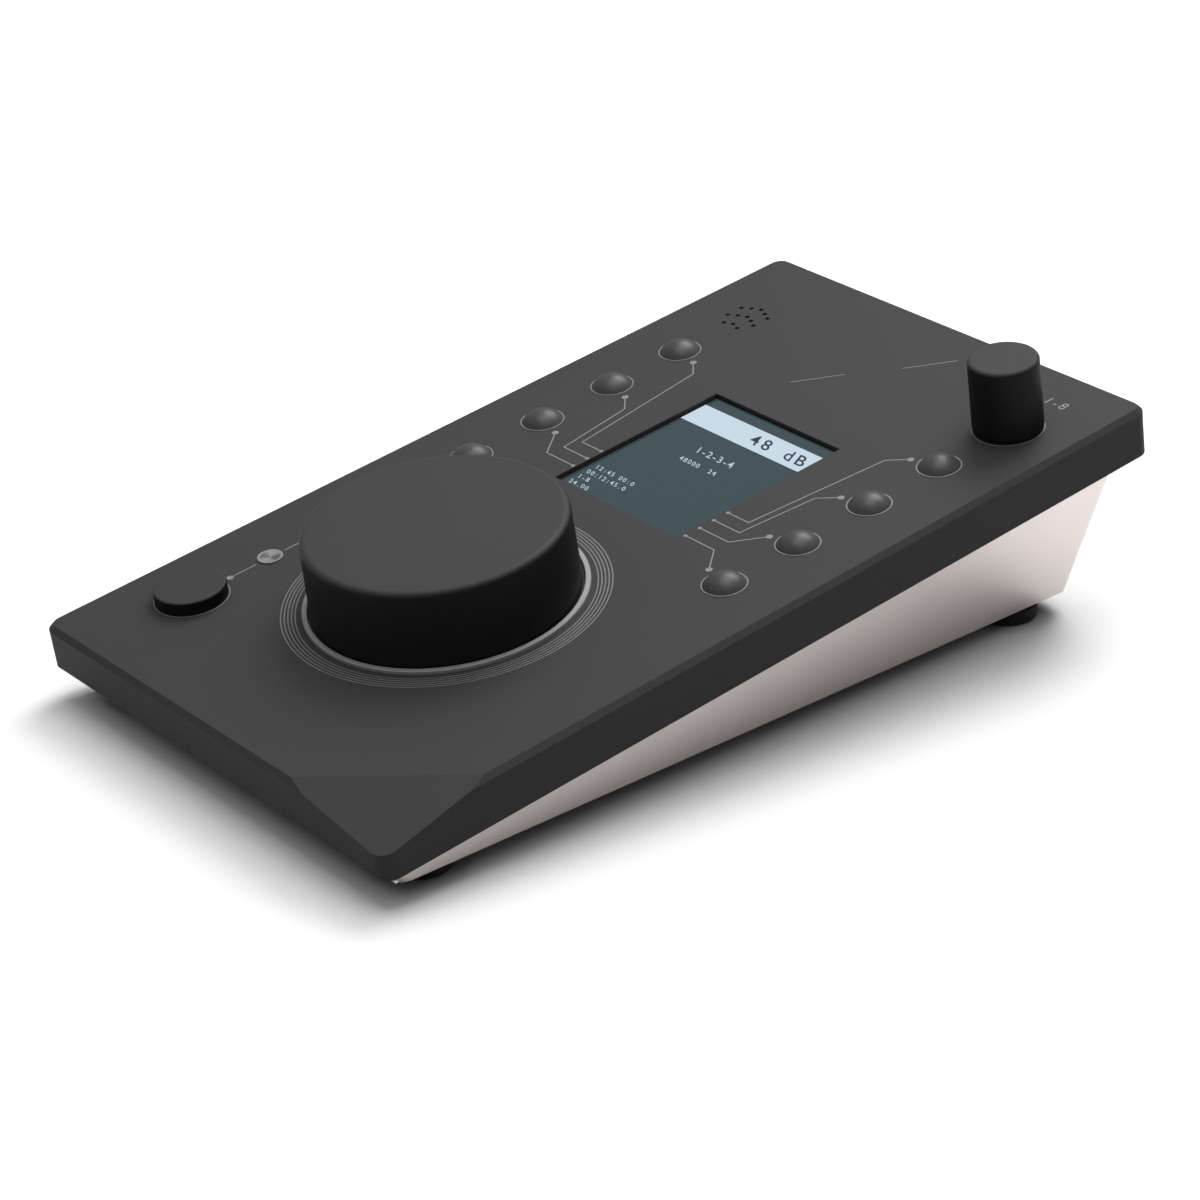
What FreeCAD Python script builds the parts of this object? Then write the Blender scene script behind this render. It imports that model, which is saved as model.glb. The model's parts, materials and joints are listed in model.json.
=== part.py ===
"""Desktop studio monitor controller: a tilted panel on a wedge base, with two knobs, nine push buttons
and a display. Millimetres and degrees. Z is up, X runs along the panel's width and Y from front to back.
The origin lies on the desk, under the middle of the case."""

import FreeCAD, Part
import Sketcher
import math
import os

# Driving dimensions. Panel positions are measured from the panel's front edge (y) and centre line (x),
# and panel heights along its normal from the top face, which is 0.
SIZES = {
    # case
    "panel_width": 130.0,
    "panel_length": 229.0,
    "panel_thickness": 3.0,
    "panel_tilt": 9.09,
    "panel_corner_radius": 4.0,
    "panel_edge_chamfer": 1.25,
    "skirt_depth": 12.2,
    "skirt_wall": 3.5,
    "front_undercut": 1.55,
    "facet_front_run": 33.8,
    "facet_side_run": 30.5,
    "facet_drop": 6.1,
    "facet_margin": 3.0,
    "base_depth": 14.24,
    "base_inset": 0.3,
    "base_rear_setback": 11.9,
    "base_wall": 3.2,
    "base_side_lean": 20.4,
    "base_rear_lean": 7.5,
    "base_front_lean": 40.0,
    "base_corner_radius": 3.0,
    "ledge_width": 11.0,
    "ledge_thickness": 2.2,
    "cover_thickness": 1.6,
    "cover_inset": 2.4,
    "cover_corner_radius": 1.0,
    "foot_radius": 8.0,
    "foot_height": 3.6,
    "foot_edge_radius": 0.9,
    "foot_end_inset": 13.7,
    "foot_front_side": 12.0,
    "foot_rear_side": 9.0,
    # fixings
    "screw_radius": 1.5,
    "screw_head_radius": 2.75,
    "screw_head_height": 1.9,
    "screw_clearance": 0.2,
    "close_fit": 0.02,
    "panel_screw_side": 8.2,
    "panel_screw_front": 16.0,
    "panel_screw_rear": 12.0,
    "panel_screw_reach": 7.0,
    "boss_radius": 3.5,
    "cover_screw_end": 24.8,
    "cover_boss_height": 4.2,
    "standoff_radius": 2.75,
    "standoff_side": 30.0,
    "standoff_front": 16.0,
    "standoff_behind_volume": 36.75,
    "standoff_rear": 39.0,
    "standoff_last": 15.0,
    # volume knob
    "volume_y": 68.25,
    "volume_radius": 31.2,
    "volume_top_radius": 30.8,
    "volume_height": 19.4,
    "volume_lift": 0.6,
    "volume_edge_radius": 1.5,
    "volume_wall": 3.5,
    "volume_crown": 4.0,
    "hub_radius": 8.0,
    "hub_lift": 4.4,
    "trim_inner_radius": 31.75,
    "trim_width": 1.3,
    "trim_height": 0.9,
    "trim_sink": 1.0,
    "turned_line_first": 34.45,
    "turned_line_pitch": 0.825,
    "turned_line_width": 0.34,
    "turned_line_depth": 0.2,
    # encoders
    "shaft_radius": 3.0,
    "shaft_fit": 0.05,
    "shaft_flat": 0.5,
    "encoder_side": 14.0,
    "bush_radius": 4.5,
    "bush_height": 4.0,
    "nut_flats": 12.0,
    "nut_height": 2.4,
    "washer_radius": 7.0,
    "washer_thickness": 0.5,
    # select knob
    "select_side": 18.6,
    "select_rear": 28.2,
    "select_radius": 8.55,
    "select_top_radius": 8.5,
    "select_height": 18.85,
    "select_lift": 1.0,
    "select_edge_radius": 1.0,
    "select_ring_radius": 8.42,
    "select_encoder_side": 13.0,
    "select_bush_radius": 3.9,
    "select_hub_radius": 5.6,
    "select_nut_flats": 10.0,
    "press_travel": 0.5,
    # round push button
    "button_side": 18.6,
    "button_front": 29.5,
    "button_radius": 8.58,
    "button_height": 3.45,
    "button_edge_radius": 0.5,
    # dome push buttons
    "dome_side": 18.65,
    "dome_behind_volume": 43.35,
    "dome_before_select": 22.6,
    "dome_count": 4,
    "dome_radius": 5.0,
    "dome_height": 2.8,
    "dome_rim": 0.15,
    # shared by every push button
    "slide_fit": 0.08,
    "flange_width": 1.2,
    "flange_thickness": 0.9,
    "flange_gap": 0.05,
    "stem_radius": 1.7,
    "switch_side": 6.0,
    "switch_height": 3.6,
    "ring_width": 0.34,
    "ring_sink": 0.8,
    "ring_proud": 0.12,
    # display
    "window_width": 44.2,
    "window_length": 51.2,
    "window_offset": 1.25,
    "lens_border": 3.0,
    "lens_sink": 1.0,
    "lens_thickness": 0.8,
    "frame_wall": 3.0,
    "frame_depth": 3.6,
    "screen_thickness": 2.6,
    "screen_clearance": 0.2,
    "ribbon_width": 18.0,
    "ribbon_thickness": 0.3,
    "ribbon_tab": 10.0,
    "ribbon_bend": 2.0,
    "ribbon_run": 5.0,
    "ribbon_socket_length": 5.0,
    "ribbon_socket_height": 2.0,
    "pad_margin": 4.0,
    "pad_ribbon_gap": 12.0,
    # status disc and microphone
    "disc_front": 51.8,
    "disc_radius": 3.1,
    "disc_rim": 0.5,
    "disc_sink": 1.0,
    "disc_proud": 0.35,
    "disc_dish": 0.25,
    "microphone_rear": 28.4,
    "microphone_radius": 6.0,
    "microphone_hole_radius": 0.62,
    "gasket_radius": 7.5,
    "gasket_thickness": 1.0,
    # boards
    "board_level": 10.0,
    "board_thickness": 1.6,
    "board_side": 11.8,
    "board_front": 8.0,
    "board_rear": 8.0,
    "chip_side": 14.0,
    "chip_height": 1.4,
    "small_chip_side": 9.0,
    "small_chip_height": 1.2,
    "header_width": 22.0,
    "header_length": 6.0,
    "header_height": 4.0,
    "header_rear": 34.0,
    "rear_board_width": 64.0,
    "rear_board_length": 22.0,
    "rear_board_rise": 5.0,
    "rear_board_gap": 1.5,
    "rear_post_side": 5.0,
    "rear_post_end": 3.5,
    "link_ribbon_width": 18.0,
    "link_ribbon_thickness": 0.9,
    # rear connectors
    "socket_x": 14.0,
    "socket_width": 16.0,
    "socket_height": 13.4,
    "socket_length": 18.0,
    "socket_mouth_width": 11.8,
    "socket_mouth_height": 8.2,
    "socket_mouth_depth": 12.5,
    "socket_floor": 2.0,
    "latch_width": 6.2,
    "latch_height": 2.2,
    "contact_pitch": 1.02,
    "contact_width": 0.45,
    "contact_length": 6.4,
    "contact_thickness": 0.35,
    "inlet_x": 17.0,
    "inlet_width": 9.0,
    "inlet_height": 3.3,
    "inlet_length": 9.0,
    "inlet_wall": 0.4,
    "inlet_back": 1.5,
    "tongue_width": 6.6,
    "tongue_thickness": 0.7,
    "tongue_recess": 1.0,
    "cutout_clearance": 0.3,
}

doc = FreeCAD.newDocument("MonitorController")
sheet = doc.addObject("Spreadsheet::Sheet", "Sizes")
for row, (alias, value) in enumerate(SIZES.items(), start=1):
    sheet.set(f"A{row}", alias.replace("_", " "))
    sheet.set(f"B{row}", str(value))
    sheet.setAlias(f"B{row}", alias)
doc.recompute()


class Dim:
    """A size as its number and as the sheet expression that gives the number."""

    def __init__(self, value, text):
        self.value = value
        self.text = text

    def __add__(self, other):
        other = dim(other)
        return Dim(self.value + other.value, f"({self.text} + {other.text})")

    def __sub__(self, other):
        other = dim(other)
        return Dim(self.value - other.value, f"({self.text} - {other.text})")

    def __mul__(self, other):
        other = dim(other)
        return Dim(self.value * other.value, f"({self.text} * {other.text})")

    def __truediv__(self, other):
        other = dim(other)
        return Dim(self.value / other.value, f"({self.text} / {other.text})")

    def __radd__(self, other):
        return dim(other) + self

    def __rsub__(self, other):
        return dim(other) - self

    def __rmul__(self, other):
        return dim(other) * self

    def __rtruediv__(self, other):
        return dim(other) / self

    def __neg__(self):
        return Dim(-self.value, f"(0 - {self.text})")


def dim(number):
    """A plain number as a Dim."""
    if isinstance(number, Dim):
        return number
    return Dim(float(number), f"({float(number)!r})")


def sine(angle):
    return Dim(math.sin(math.radians(angle.value)), f"sin({angle.text})")


def cosine(angle):
    return Dim(math.cos(math.radians(angle.value)), f"cos({angle.text})")


def tangent(angle):
    return Dim(math.tan(math.radians(angle.value)), f"tan({angle.text})")


def root(number):
    return Dim(math.sqrt(number.value), f"sqrt({number.text})")


class Cells:
    """The sheet's cells by name, each as a Dim."""

    def __getattr__(self, alias):
        return Dim(float(SIZES[alias]), f"Sizes.{alias}")


S = Cells()
HALF = S.panel_width / 2
TILT_SIN = sine(S.panel_tilt)
TILT_COS = cosine(S.panel_tilt)
TILT_TAN = tangent(S.panel_tilt)

# Where the panel's front edge stands, so that the case is centred over the origin and its feet touch the desk
FRONT_Y = -(S.panel_length * TILT_COS + (S.skirt_depth + S.panel_edge_chamfer) * TILT_SIN) / 2
COVER_TOP = S.foot_height + S.cover_thickness
FRONT_Z = COVER_TOP + S.base_depth * TILT_COS

# Panel position over which the base ends at the back
REAR_EDGE = S.panel_length - S.base_rear_setback

BUTTON_HOLE = S.button_radius + S.slide_fit
DOME_HOLE = S.dome_radius + S.slide_fit
BUSH_HOLE = S.bush_radius + S.screw_clearance
SELECT_BUSH_HOLE = S.select_bush_radius + S.screw_clearance
BOARD_TOP = -S.board_level
BOARD_BOTTOM = BOARD_TOP - S.board_thickness
LENS_WIDTH = S.window_width + 2 * S.lens_border
LENS_LENGTH = S.window_length + 2 * S.lens_border
LENS_SEAT_WIDTH = LENS_WIDTH + 2 * S.screen_clearance
LENS_SEAT_LENGTH = LENS_LENGTH + 2 * S.screen_clearance

# Places on the panel, each measured from the edge or the control that it keeps to
BUTTON_X = S.button_side - HALF
SELECT_X = HALF - S.select_side
SELECT_Y = S.panel_length - S.select_rear
MICROPHONE_Y = S.panel_length - S.microphone_rear
HEADER_Y = S.panel_length - S.header_rear
FIRST_DOME_Y = S.volume_y + S.dome_behind_volume
LAST_DOME_Y = SELECT_Y - S.dome_before_select
DOME_PITCH = (LAST_DOME_Y - FIRST_DOME_Y) / (SIZES["dome_count"] - 1)
WINDOW_Y = (FIRST_DOME_Y + LAST_DOME_Y) / 2 - S.window_offset
BOARD_HALF_WIDTH = HALF - S.board_side
BOARD_REAR = REAR_EDGE - S.board_rear

PANEL_SCREW_REAR_Y = REAR_EDGE - S.panel_screw_rear
PANEL_SCREWS = [
    (side * (HALF - S.panel_screw_side), y)
    for side in (-1, 1)
    for y in (S.panel_screw_front, (S.panel_screw_front + PANEL_SCREW_REAR_Y) / 2, PANEL_SCREW_REAR_Y)
]
STANDOFFS = [
    (side * (HALF - S.standoff_side), y)
    for side in (-1, 1)
    for y in (
        S.standoff_front,
        S.volume_y + S.standoff_behind_volume,
        S.panel_length - S.standoff_rear,
    )
]
STANDOFFS.append((0, REAR_EDGE - S.standoff_last))
DOMES = [
    (side * (HALF - S.dome_side), FIRST_DOME_Y + DOME_PITCH * row)
    for side in (-1, 1)
    for row in range(SIZES["dome_count"])
]
# Three nested chevrons of sound holes, as offsets from the microphone's axis
SOUND_HOLES = [
    (-4.9, 2.6), (-2.5, 3.9), (0, 4.9), (2.5, 3.9), (4.9, 2.6),
    (-4.9, -2.1), (-2.5, -0.8), (0, 0.2), (2.5, -0.8), (4.9, -2.1),
    (-2.5, -5.5), (0, -4.6), (2.5, -5.5),
]


# ---- features -------------------------------------------------------------------------------------------

def bind(obj, prop, size):
    """Ties a property to the sheet."""
    obj.setExpression(prop, dim(size).text)


def new_body(label):
    body = doc.addObject("PartDesign::Body", "Body_" + label)
    body.Label = label
    return body


def new_sketch(body, role="XY_Plane", rise=0):
    """A sketch on one of the body's own planes, raised along that plane's normal."""
    plane = next(f for f in body.Origin.OriginFeatures if f.Role == role)
    sketch = body.newObject("Sketcher::SketchObject", "Sketch")
    sketch.AttachmentSupport = [(plane, "")]
    sketch.MapMode = "FlatFace"
    bind(sketch, ".AttachmentOffset.Base.z", rise)
    return sketch


def hold(sketch, kind, item, *args):
    """Adds a driving constraint whose value comes from the sheet."""
    size = dim(item)
    index = sketch.addConstraint(Sketcher.Constraint(kind, *args, size.value))
    name = f"size{index}"
    sketch.renameConstraint(index, name)
    sketch.setExpression("Constraints." + name, size.text)


def hold_point(sketch, geometry, point, x, y):
    """Fixes a point by its two coordinates; one that is exactly 0 lies on the axis."""
    for kind, axis, size in (("DistanceX", -2, dim(x)), ("DistanceY", -1, dim(y))):
        if size.text == "(0.0)":
            sketch.addConstraint(Sketcher.Constraint("PointOnObject", geometry, point, axis))
        else:
            hold(sketch, kind, size, -1, 1, geometry, point)


def outline(sketch, points, arcs=None):
    """A closed outline through the points. arcs gives, for the side that starts at a point's number,
    its radius; such a side bows to the right of its direction."""
    arcs = arcs or {}
    points = [(dim(x), dim(y)) for x, y in points]
    first = sketch.GeometryCount
    count = len(points)
    ends = []
    for number, (x, y) in enumerate(points):
        next_x, next_y = points[(number + 1) % count]
        start = FreeCAD.Vector(x.value, y.value, 0)
        end = FreeCAD.Vector(next_x.value, next_y.value, 0)
        if number in arcs:
            radius = dim(arcs[number]).value
            chord = end - start
            right = FreeCAD.Vector(chord.y, -chord.x, 0).normalize()
            bow = radius - math.sqrt(max(radius**2 - (chord.Length / 2) ** 2, 0))
            curve = Part.Arc(start, (start + end) * 0.5 + right * bow, end)
            index = sketch.addGeometry(curve, False)
            drawn = sketch.Geometry[index].StartPoint
            ends.append((1, 2) if (drawn - start).Length < 1e-6 else (2, 1))
        else:
            sketch.addGeometry(Part.LineSegment(start, end), False)
            ends.append((1, 2))
    for number in range(count):
        following = (number + 1) % count
        sketch.addConstraint(
            Sketcher.Constraint(
                "Coincident", first + number, ends[number][1], first + following, ends[following][0]
            )
        )
    for number, (x, y) in enumerate(points):
        hold_point(sketch, first + number, ends[number][0], x, y)
    for number, radius in arcs.items():
        hold(sketch, "Radius", radius, first + number)


def rectangle(sketch, x, y, width, length):
    """A rectangle about its centre."""
    x, y, half_width, half_length = dim(x), dim(y), dim(width) / 2, dim(length) / 2
    outline(
        sketch,
        [
            (x - half_width, y - half_length),
            (x + half_width, y - half_length),
            (x + half_width, y + half_length),
            (x - half_width, y + half_length),
        ],
    )


def circle(sketch, x, y, radius):
    x, y, radius = dim(x), dim(y), dim(radius)
    centre = FreeCAD.Vector(x.value, y.value, 0)
    index = sketch.addGeometry(Part.Circle(centre, FreeCAD.Vector(0, 0, 1), radius.value), False)
    hold(sketch, "Radius", radius, index)
    hold_point(sketch, index, 3, x, y)


def pad(body, sketch, length, down=False, symmetric=False, taper=None):
    feature = body.newObject("PartDesign::Pad", "Pad")
    feature.Profile = sketch
    bind(feature, "Length", length)
    feature.Reversed = down
    if symmetric:
        feature.SideType = "Symmetric"
    if taper is not None:
        bind(feature, "TaperAngle", taper)
    return feature


def pocket(body, sketch, length, up=False, symmetric=False, taper=None):
    feature = body.newObject("PartDesign::Pocket", "Pocket")
    feature.Profile = sketch
    bind(feature, "Length", length)
    feature.Reversed = up
    if symmetric:
        feature.SideType = "Symmetric"
    if taper is not None:
        bind(feature, "TaperAngle", taper)
    return feature


def revolve(body, sketch, kind="PartDesign::Revolution"):
    """Turns the sketch about its vertical axis."""
    feature = body.newObject(kind, "Turned")
    feature.Profile = sketch
    feature.ReferenceAxis = (sketch, ["V_Axis"])
    feature.Angle = 360
    return feature


def loft(body, sketches, kind):
    feature = body.newObject(kind, "Loft")
    feature.Profile = sketches[0]
    feature.Sections = sketches[1:]
    feature.Ruled = True
    return feature


def dress(body, kind, prop, size, chosen):
    """A fillet or chamfer on the edges that chosen picks from the body so far."""
    doc.recompute()
    tip = body.Tip
    names = [f"Edge{n}" for n, edge in enumerate(tip.Shape.Edges, start=1) if chosen(edge)]
    feature = body.newObject(kind, "Dress")
    feature.Base = (tip, names)
    bind(feature, prop, size)
    return feature


def bore(body, radius, length, x, y, z, axis=(0, 0, 1), tilt=None):
    """Cuts a cylinder that starts at the point and runs along the axis."""
    feature = body.newObject("PartDesign::SubtractiveCylinder", "Bore")
    turn_and_place(feature, axis, tilt, x, y, z)
    bind(feature, "Radius", radius)
    bind(feature, "Height", length)
    return feature


def stud(body, radius, length, x, y, z, axis=(0, 0, 1), tilt=None):
    """Adds a cylinder that starts at the point and runs along the axis."""
    feature = body.newObject("PartDesign::AdditiveCylinder", "Stud")
    turn_and_place(feature, axis, tilt, x, y, z)
    bind(feature, "Radius", radius)
    bind(feature, "Height", length)
    return feature


def turn_and_place(obj, axis, tilt, x, y, z):
    """Stands an object's Z along the axis, or turns it about X by tilt, then moves it."""
    turn = FreeCAD.Rotation(FreeCAD.Vector(0, 0, 1), FreeCAD.Vector(*axis))
    if tilt is not None:
        turn = FreeCAD.Rotation(FreeCAD.Vector(1, 0, 0), tilt.value)
    obj.Placement = FreeCAD.Placement(FreeCAD.Vector(0, 0, 0), turn)
    if tilt is not None:
        bind(obj, "Placement.Rotation.Angle", tilt)
    for letter, size in (("x", x), ("y", y), ("z", z)):
        bind(obj, "Placement.Base." + letter, size)


def on_panel(obj, x=0, y=0, z=0):
    """Places an object in the panel's frame, which is tilted about X."""
    x, y, z = dim(x), dim(y), dim(z)
    turn_and_place(
        obj,
        (0, 0, 1),
        S.panel_tilt,
        x,
        FRONT_Y + y * TILT_COS - z * TILT_SIN,
        FRONT_Z + y * TILT_SIN + z * TILT_COS,
    )
    return obj


def on_desk(obj, x=0, y=0, z=0):
    """Places an object upright in the desk's frame."""
    turn_and_place(obj, (0, 0, 1), None, x, y, z)
    return obj


def block(label, x_range, y_range, z_range, place):
    """A plain block between two values on each axis of the panel or the desk."""
    box = doc.addObject("Part::Box", "Block_" + label)
    box.Label = label
    for prop, (low, high) in (("Length", x_range), ("Width", y_range), ("Height", z_range)):
        bind(box, prop, dim(high) - dim(low))
    return place(box, x_range[0], y_range[0], z_range[0])


def turned(label, points, arcs=None):
    """A body turned about its own Z axis from a profile of (radius, height) points."""
    body = new_body(label)
    sketch = new_sketch(body, "XZ_Plane")
    outline(sketch, points, arcs)
    revolve(body, sketch)
    return body


def rings(label, spots, outer, inner, bottom, height):
    """Like rings, or discs where inner is None, stood at several spots of one frame."""
    body = new_body(label)
    sketch = new_sketch(body, rise=bottom)
    for x, y in spots:
        circle(sketch, x, y, outer)
        if inner is not None:
            circle(sketch, x, y, inner)
    pad(body, sketch, height)
    return body


# ---- case -----------------------------------------------------------------------------------------------

def facet_line(depth):
    """Where a line parallel to the facet's bend, moved towards the corner by depth, meets the
    panel's side offset x and front offset y: returns functions of those offsets."""
    start = HALF - S.facet_front_run
    bend = root(S.facet_front_run * S.facet_front_run + S.facet_side_run * S.facet_side_run)
    shift = depth * bend

    def x_at(y):
        return start + (shift + y * S.facet_front_run) / S.facet_side_run

    def y_at(x):
        return ((x - start) * S.facet_side_run - shift) / S.facet_front_run

    return x_at, y_at


def cut_facet(body):
    """The flat that drops away across the front right corner."""
    bend = root(S.facet_front_run * S.facet_front_run + S.facet_side_run * S.facet_side_run)
    reach = S.facet_front_run * S.facet_side_run / bend
    slope = math.degrees(math.atan2(S.facet_drop.value, reach.value))
    heading = math.degrees(math.atan2(S.facet_side_run.value, S.facet_front_run.value))
    turn = FreeCAD.Rotation(FreeCAD.Vector(0, 0, 1), heading) * FreeCAD.Rotation(
        FreeCAD.Vector(1, 0, 0), slope
    )
    start = FreeCAD.Vector((HALF - S.facet_front_run).value, 0, 0)
    corner = FreeCAD.Vector(-bend.value, -2 * reach.value, 0)
    box = body.newObject("PartDesign::SubtractiveBox", "Facet")
    bind(box, "Length", 3 * bend)
    bind(box, "Width", 2 * reach)
    bind(box, "Height", S.skirt_depth)
    box.Placement = FreeCAD.Placement(start + turn.multVec(corner), turn)


def make_top_plate():
    """The milled top plate: panel, skirt, window and its seat, control holes, bosses, corner facet."""
    body = new_body("top_plate")
    side = new_sketch(body, "YZ_Plane")
    outline(side, [(0, 0), (0, -S.skirt_depth), (S.panel_length, -S.skirt_depth), (S.panel_length, 0)])
    pad(body, side, S.panel_width, symmetric=True)
    dress(
        body, "PartDesign::Fillet", "Radius", S.panel_corner_radius,
        lambda edge: abs(edge.Vertexes[0].Z - edge.Vertexes[-1].Z) > SIZES["skirt_depth"] / 2,
    )
    dress(
        body, "PartDesign::Chamfer", "Size", S.panel_edge_chamfer,
        lambda edge: all(abs(v.Z) < 1e-4 for v in edge.Vertexes),
    )
    undercut = new_sketch(body, "YZ_Plane")
    outline(
        undercut,
        [
            (-S.front_undercut, 2 * S.front_undercut - S.skirt_depth),
            (2 * S.front_undercut, -S.front_undercut - S.skirt_depth),
            (-S.front_undercut, -S.front_undercut - S.skirt_depth),
        ],
    )
    pocket(body, undercut, 2 * S.panel_width, symmetric=True)
    x_at, y_at = facet_line(S.facet_margin)
    front = S.front_undercut + S.skirt_wall
    inside = HALF - S.skirt_wall
    hollow = new_sketch(body, rise=-S.skirt_depth)
    outline(
        hollow,
        [
            (-inside, front),
            (x_at(front), front),
            (inside, y_at(inside)),
            (inside, REAR_EDGE - S.skirt_wall),
            (-inside, REAR_EDGE - S.skirt_wall),
        ],
    )
    hollow_depth = S.skirt_depth - S.panel_thickness
    pocket(body, hollow, hollow_depth, up=True)

    bosses = new_sketch(body, rise=-S.skirt_depth)
    for x, y in PANEL_SCREWS:
        circle(bosses, x, y, S.boss_radius)
    pad(body, bosses, hollow_depth)
    cut_facet(body)
    threads = new_sketch(body, rise=-S.skirt_depth)
    for x, y in PANEL_SCREWS:
        circle(threads, x, y, S.screw_radius)
    pocket(body, threads, S.panel_screw_reach + S.screw_clearance, up=True)

    openings = new_sketch(body)
    rectangle(openings, 0, WINDOW_Y, S.window_width, S.window_length)
    circle(openings, 0, S.volume_y, BUSH_HOLE)
    circle(openings, SELECT_X, SELECT_Y, SELECT_BUSH_HOLE)
    circle(openings, BUTTON_X, S.button_front, BUTTON_HOLE)
    for x, y in DOMES:
        circle(openings, x, y, DOME_HOLE)
    for x, y in SOUND_HOLES:
        circle(openings, BUTTON_X + x, MICROPHONE_Y + y, S.microphone_hole_radius)
    pocket(body, openings, S.panel_thickness)

    lens_seat = new_sketch(body, rise=-S.panel_thickness)
    rectangle(lens_seat, 0, WINDOW_Y, LENS_SEAT_WIDTH, LENS_SEAT_LENGTH)
    pocket(body, lens_seat, S.panel_thickness - S.lens_sink, up=True)

    seats = new_sketch(body)
    circle(seats, SELECT_X, SELECT_Y, S.select_ring_radius + S.ring_width)
    circle(seats, SELECT_X, SELECT_Y, S.select_ring_radius)
    circle(seats, BUTTON_X, S.button_front, BUTTON_HOLE + S.ring_width)
    for x, y in DOMES:
        circle(seats, x, y, DOME_HOLE + S.ring_width)
    pocket(body, seats, S.ring_sink)

    recesses = new_sketch(body)
    circle(recesses, 0, S.volume_y, S.trim_inner_radius + S.trim_width)
    circle(recesses, 0, S.volume_y, S.trim_inner_radius)
    circle(recesses, BUTTON_X, S.disc_front, S.disc_radius)
    pocket(body, recesses, S.trim_sink)

    lines = new_sketch(body)
    for number in range(5):
        inner = S.turned_line_first + S.turned_line_pitch * number
        circle(lines, 0, S.volume_y, inner)
        circle(lines, 0, S.volume_y, inner + S.turned_line_width)
    pocket(body, lines, S.turned_line_depth)
    return on_panel(body)


def base_outline(drop, inset):
    """Corners of the base's outline at a depth below the skirt, moved inwards by inset."""
    half = HALF - inset - tangent(S.base_side_lean) * drop
    front = S.front_undercut + inset + tangent(S.base_front_lean) * drop
    rear = REAR_EDGE - inset - tangent(S.base_rear_lean) * drop
    return [(-half, front), (half, front), (half, rear), (-half, rear)]


def panel_y_under(desk_y):
    """Panel position of the point of the base's bottom edge plane at a desk position."""
    return (desk_y - FRONT_Y - S.base_depth * TILT_SIN) * TILT_COS


def base_half_width(desk_y):
    """Half the base's width along its bottom edge."""
    drop = S.base_depth + TILT_TAN * panel_y_under(desk_y) - S.skirt_depth
    return HALF - S.base_inset - tangent(S.base_side_lean) * drop


def base_end(lean, start, inwards):
    """Desk position of the base's front or rear bottom edge."""
    slant = tangent(lean) * inwards
    panel_y = (start + slant * (S.base_depth - S.skirt_depth)) / (1 - slant * TILT_TAN)
    return FRONT_Y + S.base_depth * TILT_SIN + panel_y / TILT_COS


BASE_FRONT = base_end(S.base_front_lean, S.front_undercut + S.base_inset, 1)
BASE_REAR = base_end(S.base_rear_lean, REAR_EDGE - S.base_inset, -1)
COVER_SCREW_ROWS = [
    BASE_FRONT + S.cover_screw_end,
    (BASE_FRONT + BASE_REAR) / 2,
    BASE_REAR - S.cover_screw_end,
]
COVER_SCREWS = [
    (side * (base_half_width(y) - S.base_wall - S.boss_radius + 0.5), y)
    for side in (-1, 1)
    for y in COVER_SCREW_ROWS
]


def cut_below_base(body):
    """Trims the base along the plane that stands parallel to the desk."""
    sketch = new_sketch(body, "YZ_Plane")
    low = -2 * S.panel_length
    near = -S.panel_length
    far = 2 * S.panel_length
    outline(
        sketch,
        [
            (near, -S.base_depth - TILT_TAN * near),
            (near, low),
            (far, low),
            (far, -S.base_depth - TILT_TAN * far),
        ],
    )
    pocket(body, sketch, 2 * S.panel_width, symmetric=True)


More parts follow.
